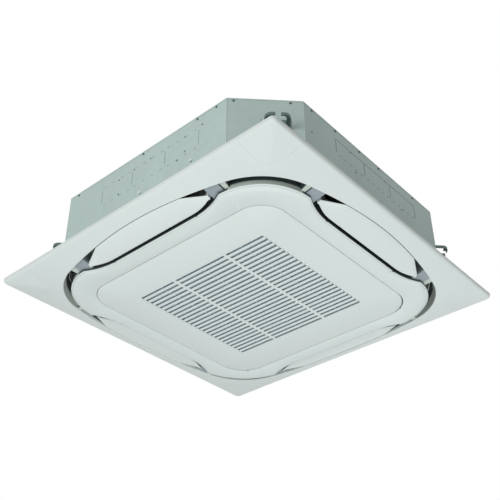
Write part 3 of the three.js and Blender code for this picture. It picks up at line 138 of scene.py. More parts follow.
BODY_BOTTOM = 10.0
BODY_TOP = 214.0
HEM = 0.45
HEM_FOOT = 209.5
ROOF_ROUND = 1.3
CHAMFER_SHARE = 0.586
RIVET_SHIFT = 24.75
GAS_LINE = (-315.0, 240.0, 110.0)
LIQUID_LINE = (-236.6, 315.0, 70.0)
PIPE_END = -470.0
DRAIN_PLACE = (-262.0, 130.0)
BLADES = 7
BLADE_ROOT = 150.0
BLADE_TIP = 236.0
BLADE_SWEEP = 38.0
COIL_MIDDLE = 315.0
COIL_START = 225.0
COIL_BEND = 275.0
COIL_HEIGHTS = (24.3, 212.5)
TUBE_HEIGHTS = tuple(40.0 + 21.0 * i for i in range(9))


# ------------------------------------------------------------------ materials

class Wire:
    """A number carried between the nodes of a finish, with arithmetic that adds Math nodes."""

    def __init__(self, finish, socket):
        self.finish = finish
        self.socket = socket

    def _join(self, operation, first, second):
        node = self.finish.add("ShaderNodeMath", {"operation": operation}, {0: first, 1: second})
        return Wire(self.finish, node.outputs[0])

    def __add__(self, other):
        return self._join("ADD", self, other)

    def __radd__(self, other):
        return self._join("ADD", other, self)

    def __sub__(self, other):
        return self._join("SUBTRACT", self, other)

    def __rsub__(self, other):
        return self._join("SUBTRACT", other, self)

    def __mul__(self, other):
        return self._join("MULTIPLY", self, other)

    def __rmul__(self, other):
        return self._join("MULTIPLY", other, self)

    def absolute(self):
        return self._join("ABSOLUTE", self, 0.0)

    def sine(self):
        return self._join("SINE", self, 0.0)


def feed(tree, socket, value):
    """Links an input to another socket or a Wire, or gives it a plain value."""
    if isinstance(value, Wire):
        value = value.socket
    if isinstance(value, bpy.types.NodeSocket):
        tree.links.new(value, socket)
    else:
        socket.default_value = value


def add_node(tree, kind, settings=None, sockets=None):
    node = tree.nodes.new(kind)
    for key, value in (settings or {}).items():
        setattr(node, key, value)
    for key, value in (sockets or {}).items():
        feed(tree, node.inputs[key], value)
    return node


class Finish:
    """One procedural material on a Principled shader."""

    def __init__(self, name, colour, roughness, metallic=0.0, specular=0.5):
        self.material = bpy.data.materials.new(name)
        self.material.use_nodes = True
        self.material.diffuse_color = (*colour, 1.0)
        self.tree = self.material.node_tree
        self.shader = self.tree.nodes["Principled BSDF"]
        self.colour = (*colour, 1.0)
        self.shader.inputs["Base Color"].default_value = self.colour
        self.shader.inputs["Roughness"].default_value = roughness
        self.shader.inputs["Metallic"].default_value = metallic
        self.shader.inputs["Specular IOR Level"].default_value = specular
        self.place = self.add("ShaderNodeTexCoord").outputs["Object"]

    def add(self, kind, settings=None, sockets=None):
        return add_node(self.tree, kind, settings, sockets)

    def stretched(self, scale):
        return self.add("ShaderNodeMapping", {}, {"Vector": self.place, "Scale": scale}).outputs[0]

    def noise(self, scale, detail=2.0, vector=None, distortion=0.0):
        node = self.add("ShaderNodeTexNoise", {}, {
            "Vector": vector or self.place, "Scale": scale, "Detail": detail, "Distortion": distortion})
        return Wire(self, node.outputs["Fac"])

    def cells(self, scale, output="Distance"):
        node = self.add("ShaderNodeTexVoronoi", {"feature": "F1"}, {"Vector": self.place, "Scale": scale})
        return node.outputs[output]

    def along(self, axis):
        split = self.add("ShaderNodeSeparateXYZ", {}, {0: self.place})
        return Wire(self, split.outputs[axis])

    def mixed(self, factor, first, second):
        node = self.add("ShaderNodeMix", {"data_type": "RGBA"}, {0: factor, 6: first, 7: second})
        return node.outputs[2]

    def tinted(self, factor, dark, light):
        """Base colour between two multiples of the plain colour."""
        low = (*(c * dark for c in self.colour[:3]), 1.0)
        high = (*(min(c * light, 1.0) for c in self.colour[:3]), 1.0)
        feed(self.tree, self.shader.inputs["Base Color"], self.mixed(factor, low, high))

    def roughened(self, value):
        feed(self.tree, self.shader.inputs["Roughness"], value)

    def bumped(self, height, distance, strength=1.0):
        node = self.add("ShaderNodeBump", {}, {"Height": height, "Distance": distance, "Strength": strength})
        feed(self.tree, self.shader.inputs["Normal"], node.outputs[0])


def moulded_white(name, colour, roughness):
    finish = Finish(name, colour, roughness, specular=0.42)
    broad = finish.noise(3.0, 3.0)
    fine = finish.noise(900.0, 2.0)
    finish.tinted(broad * 0.7 + fine * 0.3, 0.975, 1.02)
    finish.roughened(roughness - 0.05 + 0.1 * finish.noise(14.0, 3.0))
    finish.bumped(fine, 0.00006, 0.5)
    return finish.material


def zinc_sheet(name, colour, roughness, metallic, cell=55.0):
    finish = Finish(name, colour, roughness, metallic)
    spangle = finish.add("ShaderNodeSeparateColor", {}, {0: finish.cells(cell, "Color")}).outputs[0]
    cloud = finish.noise(5.0, 4.0)
    streak = finish.noise(9.0, 3.0, finish.stretched((1.0, 1.0, 0.16)))
    grain = finish.noise(420.0, 3.0, finish.stretched((1.0, 1.0, 0.05)))
    spangle = Wire(finish, spangle)
    finish.tinted(spangle * 0.22 + cloud * 0.3 + streak * 0.3 + grain * 0.18, 0.84, 1.14)
    finish.roughened(roughness - 0.08 + 0.16 * spangle)
    finish.bumped(grain * 0.6 + cloud * 0.4, 0.00012, 0.35)
    return finish.material


def cast_foam(name, colour):
    finish = Finish(name, colour, 0.9, specular=0.2)
    bead = Wire(finish, finish.cells(260.0))
    finish.tinted(bead * 1.3 + 0.2 * finish.noise(12.0, 3.0), 0.86, 1.04)
    finish.bumped(1.0 - bead, 0.0006, 0.5)
    return finish.material


def soft_foam(name, colour):
    finish = Finish(name, colour, 0.95, specular=0.15)
    pore = Wire(finish, finish.cells(700.0))
    finish.tinted(pore + 0.4 * finish.noise(20.0, 3.0), 0.6, 1.5)
    finish.bumped(pore, 0.0005, 0.6)
    return finish.material


def plain_plastic(name, colour, roughness, grain=600.0):
    finish = Finish(name, colour, roughness, specular=0.45)
    fine = finish.noise(grain, 2.0)
    finish.tinted(finish.noise(9.0, 4.0) * 0.7 + fine * 0.3, 0.86, 1.12)
    finish.roughened(roughness - 0.08 + 0.16 * finish.noise(25.0, 3.0))
    finish.bumped(fine, 0.0001, 0.5)
    return finish.material


def drawn_metal(name, colour, roughness):
    finish = Finish(name, colour, roughness, 1.0)
    tarnish = finish.noise(22.0, 5.0, distortion=0.6)
    scratch = finish.noise(300.0, 2.0, finish.stretched((0.06, 1.0, 1.0)))
    finish.tinted(tarnish * 0.75 + scratch * 0.25, 0.68, 1.12)
    finish.roughened(roughness - 0.1 + 0.25 * tarnish)
    finish.bumped(scratch, 0.00008, 0.4)
    return finish.material


def fin_pack(name, colour):
    finish = Finish(name, colour, 0.34, 0.9)
    ridge = (finish.along(2) * 600.0).sine() * 0.5 + 0.5
    finish.tinted(ridge * 0.5 + finish.noise(18.0, 4.0) * 0.5, 0.7, 1.08)
    finish.bumped(ridge, 0.0002, 0.4)
    return finish.material


def filter_cloth(name, colour):
    finish = Finish(name, colour, 0.7, specular=0.3)
    warp = (finish.along(0) * 2200.0).sine().absolute()
    weft = (finish.along(1) * 2200.0).sine().absolute()
    dust = finish.noise(16.0, 5.0)
    finish.tinted(warp * 0.3 + weft * 0.3 + dust * 0.4, 0.84, 1.12)
    finish.bumped(warp + weft, 0.0002, 0.5)
    return finish.material


FINISH_ROWS = (
    (moulded_white, "panel_white", (0.715, 0.782, 0.765), 0.46),
    (moulded_white, "flap_white", (0.73, 0.795, 0.78), 0.36),
    # The recess finish is the panel's white darkened: painted shade on the recessed bridge blocks.
    (moulded_white, "recess_grey", (0.315, 0.37, 0.40), 0.5),
    # The duct wall finish is the panel's white darkened: painted shade on the foot of the outlet duct walls.
    (moulded_white, "duct_wall", (0.56, 0.62, 0.57), 0.5),
    # The dark duct finish is a near-black lining that also paints the deep shade in the outlet duct.
    (soft_foam, "duct_dark", (0.058, 0.073, 0.078)),
    (zinc_sheet, "zinc_sheet", (0.50, 0.625, 0.595), 0.56, 0.08),
    (zinc_sheet, "punched_mark", (0.13, 0.19, 0.185), 0.6, 0.3, 200.0),
    (drawn_metal, "bright_zinc", (0.72, 0.78, 0.76), 0.28),
    # The bracket finish is the zinc sheet darkened: painted shade for the hanger brackets' shadowed
    # undersides; the panel screws share it.
    (zinc_sheet, "bracket_steel", (0.115, 0.165, 0.165), 0.42, 0.6, 140.0),
    (cast_foam, "cast_foam", (0.72, 0.74, 0.70)),
    (soft_foam, "soft_foam", (0.03, 0.034, 0.036)),
    (plain_plastic, "motor_paint", (0.085, 0.095, 0.10), 0.4),
    (plain_plastic, "grey_plastic", (0.30, 0.34, 0.36), 0.48),
    (plain_plastic, "fan_plastic", (0.34, 0.38, 0.40), 0.45),
    (plain_plastic, "dark_plastic", (0.075, 0.085, 0.09), 0.5),
    (plain_plastic, "black_rubber", (0.022, 0.023, 0.024), 0.72, 900.0),
    (fin_pack, "fin_pack", (0.62, 0.66, 0.69)),
    (drawn_metal, "copper_tube", (0.78, 0.37, 0.21), 0.3),
    (drawn_metal, "brass_nut", (0.78, 0.59, 0.27), 0.3),
    (filter_cloth, "filter_cloth", (0.62, 0.73, 0.78)),
    (plain_plastic, "filter_frame", (0.55, 0.66, 0.72), 0.55),
)
FINISHES = {name: make(name, *looks) for make, name, *looks in FINISH_ROWS}


# ------------------------------------------------------------------ making meshes

def dress(piece, *finishes):
    """Gives a piece its finishes, in the order of its faces' material numbers."""
    slots = piece.data.materials
    for number, finish in enumerate(finishes):
        if number < len(slots):
            slots[number] = FINISHES[finish]
        else:
            slots.append(FINISHES[finish])


def smooth(piece, angle=32.0):
    piece.data.shade_smooth()
    piece.data.set_sharp_from_angle(angle=math.radians(angle))


def new_object(name, data):
    thing = bpy.data.objects.new(name, data)
    bpy.context.scene.collection.objects.link(thing)
    return thing


def piece_from_bmesh(name, shape, *finishes, outward=True):
    if outward:
        bmesh.ops.recalc_face_normals(shape, faces=shape.faces)
    mesh = bpy.data.meshes.new(name)
    shape.to_mesh(mesh)
    shape.free()
    piece = new_object(name, mesh)
    dress(piece, *finishes)
    return piece


def set_live(piece):
    """Turns a piece and its modifiers into a plain mesh."""
    graph = bpy.context.evaluated_depsgraph_get()
    graph.update()
    mesh = bpy.data.meshes.new_from_object(piece.evaluated_get(graph), depsgraph=graph)
    old = piece.data
    piece.modifiers.clear()
    piece.data = mesh
    bpy.data.meshes.remove(old)
    return piece


def bevel(piece, width, segments=2, angle=35.0):
    tool = piece.modifiers.new("edges", "BEVEL")
    tool.width = width * MM
    tool.segments = segments
    tool.limit_method = "ANGLE"
    tool.angle_limit = math.radians(angle)
    tool.harden_normals = False
    return set_live(piece)


def carve(piece, tool, operation):
    cutter = piece.modifiers.new("cut", "BOOLEAN")
    cutter.operation = operation
    cutter.solver = "EXACT"
    cutter.object = tool
    set_live(piece)
    mesh = tool.data
    bpy.data.objects.remove(tool)
    bpy.data.meshes.remove(mesh)
    return piece


def add_loft(shape, loops, ring, paint=None, capped=False):
    """Skins equal closed loops of points in mm. paint(point) picks the finish of each face."""
    rows = [[shape.verts.new(Vector(point) * MM) for point in loop] for loop in loops]
    count = len(rows)
    faces = []
    for i in range(count if ring else count - 1):
        here, following = rows[i], rows[(i + 1) % count]
        for j in range(len(here)):
            k = (j + 1) % len(here)
            faces.append(shape.faces.new((here[j], here[k], following[k], following[j])))
    if capped:
        faces.append(shape.faces.new(rows[0]))
        faces.append(shape.faces.new(rows[-1]))
    if paint:
        for face in faces:
            face.material_index = paint(face.calc_center_median() / MM)
    return faces


def add_turned(shape, profile, sides):
    """Turns a closed profile of (radius, height) about the upright line through the origin."""
    loops = []
    for i in range(sides):
        angle = 2 * math.pi * i / sides
        loops.append([(r * math.cos(angle), r * math.sin(angle), z) for r, z in profile])
    add_loft(shape, loops, ring=True)


def add_block(shape, x, y, z):
    size = (abs(x[1] - x[0]) * MM, abs(y[1] - y[0]) * MM, abs(z[1] - z[0]) * MM)
    place = Vector((x[0] + x[1], y[0] + y[1], z[0] + z[1])) * (MM / 2)
    fit = Matrix.Translation(place) @ Matrix.Diagonal((*size, 1.0))
    bmesh.ops.create_cube(shape, size=1.0, matrix=fit)


def add_rod(shape, start, end, radius, sides=32):
    start, end = Vector(start) * MM, Vector(end) * MM
    run = end - start
    turn = Vector((0, 0, 1)).rotation_difference(run).to_matrix().to_4x4()
    bmesh.ops.create_cone(
        shape, cap_ends=True, segments=sides, radius1=radius * MM, radius2=radius * MM, depth=run.length,
        matrix=Matrix.Translation((start + end) / 2) @ turn)


def add_slab(shape, outline, low, high):
    below = [shape.verts.new(Vector((x, y, low)) * MM) for x, y in outline]
    above = [shape.verts.new(Vector((x, y, high)) * MM) for x, y in outline]
    shape.faces.new(below)
    shape.faces.new(above)
    for i in range(len(outline)):
        j = (i + 1) % len(outline)
        shape.faces.new((below[i], below[j], above[j], above[i]))


def quarter_turned(piece, quarter):
    """Turns a piece's mesh to face another side, and leaves the object unturned."""
    piece.data.transform(Matrix.Rotation(quarter * math.pi / 2, 4, "Z"))
    return piece


def merged_solid(node, name):
    """A welded copy of a solid of the frame, with its flat faces joined."""
    shape = bmesh.new()
    shape.from_mesh(frame["nodes"][node].data)
    bmesh.ops.remove_doubles(shape, verts=shape.verts, dist=1e-6)
    bmesh.ops.dissolve_limit(shape, angle_limit=math.radians(0.6), verts=shape.verts, edges=shape.edges)
    return piece_from_bmesh(name, shape, "grey_plastic", outward=False)


def placed(piece, body, slot, *nodes):
    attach(piece, body)
    if nodes:
        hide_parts(*nodes)
    return piece


# ------------------------------------------------------------------ repeated things

SOCKETS = {"float": "NodeSocketFloat", "int": "NodeSocketInt", "vector": "NodeSocketVector",
           "material": "NodeSocketMaterial"}


class Pattern:
    """A Geometry Nodes tree with named inputs, which ends in real mesh with one finish."""

    def __init__(self, name, inputs):
        self.tree = bpy.data.node_groups.new(name, "GeometryNodeTree")
        self.tree.interface.new_socket("Geometry", in_out="INPUT", socket_type="NodeSocketGeometry")
        self.tree.interface.new_socket("Geometry", in_out="OUTPUT", socket_type="NodeSocketGeometry")
        self.ids = {}
        for label, kind in (*inputs, ("Finish", "material")):
            item = self.tree.interface.new_socket(label, in_out="INPUT", socket_type=SOCKETS[kind])
            self.ids[label] = item.identifier
        self.source = self.tree.nodes.new("NodeGroupInput")

    def given(self, label):
        return self.source.outputs[label]

    def add(self, kind, settings=None, sockets=None):
        return add_node(self.tree, kind, settings, sockets)

    def math(self, operation, first, second):
        return self.add("ShaderNodeMath", {"operation": operation}, {0: first, 1: second}).outputs[0]

    def copied(self, points, instance, rotation=(0.0, 0.0, 0.0)):
        """Ends the tree with a copy of one mesh at every point."""
        copies = self.add("GeometryNodeInstanceOnPoints", {}, {
            "Points": points, "Instance": instance, "Rotation": rotation})
        real = self.add("GeometryNodeRealizeInstances", {}, {0: copies.outputs[0]})
        painted = self.add("GeometryNodeSetMaterial", {}, {
            "Geometry": real.outputs[0], "Material": self.given("Finish")})
        sink = self.tree.nodes.new("NodeGroupOutput")
        self.tree.links.new(painted.outputs[0], sink.inputs[0])
        return self

    def apply(self, piece, finish, **values):
        tool = piece.modifiers.new("pattern", "NODES")
        tool.node_group = self.tree
        tool[self.ids["Finish"]] = FINISHES[finish]
        for label, value in values.items():
            tool[self.ids[label.replace("_", " ")]] = value
        set_live(piece)
        return piece


def row_pattern():
    """Copies the piece's own mesh along a straight row."""
    pattern = Pattern("row_of_copies", (("Count", "int"), ("Step", "vector")))
    line = pattern.add("GeometryNodeMeshLine", {"mode": "OFFSET"}, {
        "Count": pattern.given("Count"), "Offset": pattern.given("Step")})
    return pattern.copied(line.outputs[0], pattern.given("Geometry"))


def wheel_pattern():
    """Copies the piece's own mesh round the upright line through the origin."""
    pattern = Pattern("wheel_of_copies", (("Count", "int"), ("Turn", "float")))
    line = pattern.add("GeometryNodeMeshLine", {"mode": "OFFSET"}, {
        "Count": pattern.given("Count"), "Offset": (0.0, 0.0, 0.0)})
    index = pattern.add("GeometryNodeInputIndex")
    angle = pattern.math("MULTIPLY", index.outputs[0], pattern.given("Turn"))
    spin = pattern.add("ShaderNodeCombineXYZ", {}, {2: angle})
    return pattern.copied(line.outputs[0], pattern.given("Geometry"), spin.outputs[0])


def screw_pattern():
    """A hexagon head on a washer at each point of the piece."""
    pattern = Pattern("screws_on_points", (("Radius", "float"), ("Height", "float"), ("Turn", "vector")))
    half = pattern.math("MULTIPLY", pattern.given("Radius"), 0.72)
    thin = pattern.math("MULTIPLY", pattern.given("Height"), 0.35)
    washer = pattern.add("GeometryNodeMeshCylinder", {}, {
        "Vertices": 20, "Radius": pattern.given("Radius"), "Depth": thin})
    head = pattern.add("GeometryNodeMeshCone", {}, {
        "Vertices": 6, "Radius Top": half, "Radius Bottom": half, "Depth": pattern.given("Height")})
    both = pattern.add("GeometryNodeJoinGeometry")
    pattern.tree.links.new(washer.outputs[0], both.inputs[0])
    pattern.tree.links.new(head.outputs[0], both.inputs[0])
    return pattern.copied(pattern.given("Geometry"), both.outputs[0], pattern.given("Turn"))


def dash_pattern():
    """A short thin bar at each point of the piece."""
    pattern = Pattern("dashes_on_points", (("Size", "vector"),))
    bar = pattern.add("GeometryNodeMeshCube", {}, {"Size": pattern.given("Size")})
    return pattern.copied(pattern.given("Geometry"), bar.outputs[0])


def fin_pattern():
    """Upright fins across a path, one at every step."""
    pattern = Pattern("fins_along_path", (("Spacing", "float"), ("Size", "vector")))
    curve = pattern.add("GeometryNodeMeshToCurve", {}, {0: pattern.given("Geometry")})
    points = pattern.add("GeometryNodeCurveToPoints", {"mode": "LENGTH"}, {
        "Curve": curve.outputs[0], "Length": pattern.given("Spacing")})
    fin = pattern.add("GeometryNodeMeshCube", {}, {"Size": pattern.given("Size")})
    turn = pattern.add("FunctionNodeAlignRotationToVector", {"axis": "X"}, {
        "Vector": points.outputs["Tangent"]})
    return pattern.copied(points.outputs["Points"], fin.outputs[0], turn.outputs[0])


ROW = row_pattern()
WHEEL = wheel_pattern()
SCREWS = screw_pattern()
DASHES = dash_pattern()
FINS = fin_pattern()


def points_piece(name, points):
    mesh = bpy.data.meshes.new(name)
    mesh.from_pydata([Vector(point) * MM for point in points], [], [])
    return new_object(name, mesh)


# ------------------------------------------------------------------ plan curves of the panel

def ray_to_circle(angle, u, v, radius, side):
    along = u * math.cos(angle) + v * math.sin(angle)
    across = u * math.sin(angle) - v * math.cos(angle)
    return along + side * math.sqrt(max(radius * radius - across * across, 0.0))


def rounded_square(angle, half, radius):
    centre = half - radius
    if half * math.tan(angle) <= centre:
        return half / math.cos(angle)
    return ray_to_circle(angle, centre, centre, radius, 1)


CORNER_CENTRE = OUTLET_CORNER - OUTLET_CORNER_RADIUS / math.sqrt(2)
CENTRE_STEP = OUTLET_MIDDLE - CORNER_CENTRE
OUTLET_BOW = ((CENTRE_STEP ** 2 + CORNER_CENTRE ** 2 - OUTLET_CORNER_RADIUS ** 2)
              / (2 * (CENTRE_STEP - OUTLET_CORNER_RADIUS)))
BOW_CENTRE = OUTLET_MIDDLE - OUTLET_BOW
CORNER_LEAN = math.atan2(CORNER_CENTRE, CORNER_CENTRE - BOW_CENTRE)
CORNER_START = math.atan2(
    CORNER_CENTRE + OUTLET_CORNER_RADIUS * math.sin(CORNER_LEAN),
    CORNER_CENTRE + OUTLET_CORNER_RADIUS * math.cos(CORNER_LEAN))


def outlet_edge(angle):
    if angle < CORNER_START:
        return ray_to_circle(angle, BOW_CENTRE, 0.0, OUTLET_BOW, 1)
    return ray_to_circle(angle, CORNER_CENTRE, CORNER_CENTRE, OUTLET_CORNER_RADIUS, 1)


def ring_edge(angle):
    corner = ray_to_circle(angle, CORNER_CENTRE, CORNER_CENTRE, OUTLET_CORNER_RADIUS - CORNER_SLOT, 1)
    straight = RING_EDGE / math.cos(angle)
    if straight * math.sin(angle) <= FLARE_START:
        return straight
    return min(corner, ray_to_circle(angle, RING_EDGE + FLARE_RADIUS, FLARE_START, FLARE_RADIUS, -1))


def towards_corner(angle):
    return math.sin(2 * angle) ** 2


def outlet_height(angle):
    return -OUTLET_DROP[0] - (OUTLET_DROP[1] - OUTLET_DROP[0]) * towards_corner(angle)


def ring_height(angle):
    return RING_EDGE_HEIGHT[0] + (RING_EDGE_HEIGHT[1] - RING_EDGE_HEIGHT[0]) * towards_corner(angle) ** 4


def duct_draft(angle, which):
    side, corner = DUCT_DRAFTS[which]
    return side + (corner - side) * towards_corner(angle) ** 2


def octant_angle(angle):
    turned = angle % (math.pi / 2)
    return min(turned, math.pi / 2 - turned)


def stations():
    """Rays at which the panel's curves are read: evenly, and where they change."""
    even_step = math.radians(0.9)
    least_step = math.radians(0.04)
    near_corner = (44.35, 44.45, 44.55, 44.65, 44.75, 44.85, 44.93)
    marks = {even_step * i for i in range(51)}
    marks |= {math.radians(angle) for angle in near_corner}
    marks |= {CORNER_START, math.atan2(SEAM - SEAM_RADIUS, SEAM)}
    marks |= {math.atan2(RIM - RIM_CORNER_RADIUS, RIM), math.atan2(FLARE_START, RING_EDGE)}
    octant = sorted(marks)
    cleaned = [octant[0]]
    for mark in octant[1:]:
        if mark - cleaned[-1] > least_step:
            cleaned.append(mark)
    falling = [math.pi / 2 - mark for mark in reversed(cleaned[1:-1])]
    quarter = cleaned + falling
    return [k * math.pi / 2 + mark for k in range(4) for mark in quarter]


STATIONS = stations()


def ring_loops(section):
    loops = []
    for angle in STATIONS:
        points = section(octant_angle(angle))
        loops.append([(r * math.cos(angle), r * math.sin(angle), z) for r, z in points])
    return loops


def arc(centre, radius, start, end, steps):
    """Points on an arc, with angles in degrees."""
    angles = [math.radians(start + (end - start) * i / steps) for i in range(steps + 1)]
    return [(centre[0] + radius * math.cos(a), centre[1] + radius * math.sin(a)) for a in angles]


def border_wall_line(angle):
    """The height at which the border's duct wall turns from its shaded grey foot, painted shade on white
    plastic, to its near-black lining, which also paints the duct's deep shade.
    """
    return BORDER_WALL_LINE if angle > CORNER_WALL_START else BORDER_SIDE_LINE


def border_section(angle):
    rim = rounded_square(angle, RIM, RIM_CORNER_RADIUS)
    edge = outlet_edge(angle)
    drop = outlet_height(angle)
    duct = edge - duct_draft(angle, 0)
    inner = rim - RIM_WALL / math.cos(angle)
    bend = arc((rim - RIM_ROUND, -RIM_HEIGHT + RIM_ROUND), RIM_ROUND, 0, -90, 5)
    slope = math.atan2(drop + RIM_HEIGHT, edge - rim + RIM_ROUND)
    normal = slope + math.pi / 2
    centre = (edge + LIP_RADIUS * 0.3, drop + LIP_RADIUS)
    roll = arc(centre, LIP_RADIUS, math.degrees(normal), math.degrees(normal) - 120, 5)
    foot_radius, foot = roll[-1]
    line = max(border_wall_line(angle), foot + 0.5)
    across = foot_radius + (duct - foot_radius) * (line - foot) / (DUCT_TOP - foot)
    return [(rim, 0.0), *bend, *roll, (across, line), (duct, DUCT_TOP), (duct + PANEL_WALL, DUCT_TOP),
            (edge + 3.0, drop + 1.6 * PANEL_WALL), (inner, -RIM_HEIGHT + PANEL_WALL + 1.0), (inner, 0.0)]


def ring_wall_line(angle):
    """The height at which the ring's duct wall turns from its shaded grey foot, painted shade on white
    plastic, to its near-black lining, which also paints the duct's deep shade.
    """
    return RING_WALL_LINE if angle > CORNER_WALL_START else ring_height(angle) + 2.6


def central_section(angle):
    edge = ring_edge(angle)
    height = ring_height(angle)
    duct = edge - duct_draft(angle, 1)
    seam = rounded_square(angle, SEAM, SEAM_RADIUS)
    intake = rounded_square(angle, INTAKE, SEAM_RADIUS - (SEAM - INTAKE))
    fall = height - PANEL_BOTTOM
    foot = height + 1.8
    line = ring_wall_line(angle)
    down = (DUCT_TOP - line) / (DUCT_TOP - foot)
    wall = [(duct, DUCT_TOP), (duct + (edge - 0.4 - duct) * down, line), (edge - 0.4, foot)]
    lip = [(edge, height + 0.9), (edge - 0.6, height), (edge - 3.2, height - 0.9)]
    groove = [(edge - 3.5, height + 0.5), (edge - 4.4, height + 0.5), (edge - 4.8, height - 1.0)]
    curve = [(edge - 9.0, height - fall * 0.62 - 0.2), (edge - 14.0, height - fall * 0.86 - 0.1),
             (edge - 22.0, PANEL_BOTTOM + 0.12), (edge - 27.0, PANEL_BOTTOM)]
    seam_edge = [(seam + 1.0, PANEL_BOTTOM), (seam + 0.3, PANEL_BOTTOM + 0.3), (seam, PANEL_BOTTOM + 1.0)]
    ledge = [(seam, LEDGE_BOTTOM), (intake, LEDGE_BOTTOM), (intake, DUCT_TOP)]
    inside = [(intake + LEDGE_WALL, DUCT_TOP), (intake + LEDGE_WALL, LEDGE_TOP),
              (seam + LEDGE_WALL, LEDGE_TOP), (seam + LEDGE_WALL, PANEL_BOTTOM + PANEL_WALL),
              (edge - 9.0, height + 1.5), (edge - 3.5, height + PANEL_WALL + 1.5),
              (duct - PANEL_WALL, DUCT_TOP)]
    return [*wall, *lip, *groove, *curve, *seam_edge, *ledge, *inside]


# After the white come three kinds of painted shade: the near-black duct lining, the grey of the recessed
# blocks and the shaded wall foot.
PANEL_FINISHES = ("panel_white", "duct_dark", "recess_grey", "duct_wall")
PAINT_WHITE, PAINT_LINING_SHADE, PAINT_RECESS_SHADE, PAINT_SHADED_WALL = range(4)


# Inside the outlet, faces get painted shade: the shaded grey wall colour up to the wall line and the
# near-black lining above it.
def border_paint(point):
    angle = octant_angle(math.atan2(point.y, point.x))
    inside = math.hypot(point.x, point.y) < outlet_edge(angle) - 0.2
    if not inside or point.z < outlet_height(angle) + 2.6:
        return PAINT_WHITE
    return PAINT_LINING_SHADE if point.z > border_wall_line(angle) else PAINT_SHADED_WALL


# Outside the ring's edge, faces get painted shade the same way; in the flap zones the near-black lining
# reaches nearly to the edge.
def central_paint(point):
    angle = octant_angle(math.atan2(point.y, point.x))
    outside = math.hypot(point.x, point.y) > ring_edge(angle) - duct_draft(angle, 1) - 1.0
    if not outside or point.z < ring_height(angle) + 1.9:
        return PAINT_WHITE
    return PAINT_LINING_SHADE if point.z > ring_wall_line(angle) else PAINT_SHADED_WALL


def border_height(x, y):
    angle = octant_angle(math.atan2(y, x))
    rim = rounded_square(angle, RIM, RIM_CORNER_RADIUS) - RIM_ROUND
    edge = outlet_edge(angle)
    share = (rim - math.hypot(x, y)) / (rim - edge)
    return -RIM_HEIGHT + (outlet_height(angle) + RIM_HEIGHT) * min(max(share, 0.0), 1.0)


def cover_plan(inset):
    near = COVER_EDGE + inset
    far = RIM + 10.0
    rounding = COVER_ROUND - inset
    bend = arc((near + rounding, near + rounding), rounding, 180, 270, 24)
    return [*bend, (far, near), (far, far), (near, far)]


def turned_plan(outline, quarter):
    turn = Matrix.Rotation(quarter * math.pi / 2, 2)
    return [tuple(turn @ Vector(point)) for point in outline]


def cover_tool(inset, quarters):
    shape = bmesh.new()
    for quarter in quarters:
        add_slab(shape, turned_plan(cover_plan(inset), quarter), -60.0, 12.0)
    return piece_from_bmesh("cover_tool", shape)


def make_border(name):
    shape = bmesh.new()
    add_loft(shape, ring_loops(border_section), ring=True, paint=border_paint)
    return piece_from_bmesh(name, shape, *PANEL_FINISHES)


# ------------------------------------------------------------------ the panel

def add_turned_loft(shape, loops, quarter, finish):
    """Skins open loops drawn on the right-hand side, turned to another side."""
    turn = Matrix.Rotation(quarter * math.pi / 2, 4, "Z")
    turned = [[turn @ Vector(point) for point in loop] for loop in loops]
    faces = add_loft(shape, turned, ring=False, capped=True)
    for face in faces:
        face.material_index = finish
    return faces


def add_pocket(shape, quarter):
    """The step behind a corner cover: a rim round its inner edge and a floor that the screw holds."""
    centre = (POCKET_CENTRE, POCKET_CENTRE)
    near_out = POCKET_CENTRE - POCKET_OUTSIDE
    near_in = POCKET_CENTRE - POCKET_INSIDE
    end = RIM - 7.0
    outer = [(near_out, end), *arc(centre, POCKET_OUTSIDE, 180, 270, 20), (end, near_out)]
    inner = [(near_in, end), *arc(centre, POCKET_INSIDE, 180, 270, 20), (end, near_in)]
    low, high = POCKET_FLOOR
    loops = []
    for (ox, oy), (ix, iy) in zip(outer, inner):
        low_out = border_height(ox, oy) + 1.2
        low_in = border_height(ix, iy) + 1.2
        loops.append([(ox, oy, low_out), (ix, iy, low_in), (ix, iy, high), (ox, oy, high)])
    add_turned_loft(shape, loops, quarter, PAINT_WHITE)
    middle, reach = SCREW_TAB
    far = middle + reach
    floor = [*inner, (far, near_in), *arc((middle, middle), reach, 0, 90, 8), (near_in, far)]
    add_slab(shape, turned_plan(floor, quarter), low, high)


def add_bar(shape, rows, ends, sign, quarter, finish):
    """A bar from ring to border, lofted through rows of its two places along the side and its lift."""
    (inside, low), (outside, high) = ends
    loops = []
    for near, far, lift in rows:
        loops.append([(inside, sign * near, DUCT_TOP), (inside, sign * near, low + lift),
                      (outside, sign * far, high + lift), (outside, sign * far, DUCT_TOP)])
    return add_turned_loft(shape, loops, quarter, finish)


def add_bridge(shape, quarter, sign):
    """A recessed block between border and ring, painted grey as shade, and a lug in the shaded wall colour
    that ends square to the corner slot, its end face painted dark as a shadow line.
    """
    start, end = BRIDGE
    block_rows = ((start, 1.2), (start + 1.2, 0.0), (end - 13.0, 0.0), (end - 12.2, 0.8))
    lug_rows = ((end - 10.0, end - 9.0, 4.0), (end - 7.5, end - 5.0, 0.2),
                (end - 1.0, end + 10.0, 0.0), (end, end + 12.0, 1.4))
    add_bar(shape, [(y, y, lift) for y, lift in block_rows], BRIDGE_BLOCK, sign, quarter, PAINT_RECESS_SHADE)
    lug = add_bar(shape, lug_rows, BRIDGE_LUG, sign, quarter, PAINT_SHADED_WALL)
    # The lug's end face gets the near-black lining colour, a painted shadow line at the corner slot.
    lug[-1].material_index = PAINT_LINING_SHADE


def add_hinge_ears(shape):
    y, z = HINGE
    for start in HINGE_EARS:
        x = (start, start + HINGE_EAR_WIDTH)
        add_rod(shape, (x[0], y, z), (x[1], y, z), HINGE_EAR_RADIUS, 28)
        add_block(shape, x, (y - HINGE_EAR_RADIUS, y + 1.0), (z, LEDGE_BOTTOM + 1.0))
        add_block(shape, x, (y - 5.0, y + 3.0), (LEDGE_BOTTOM, LEDGE_BOTTOM + 12.0))


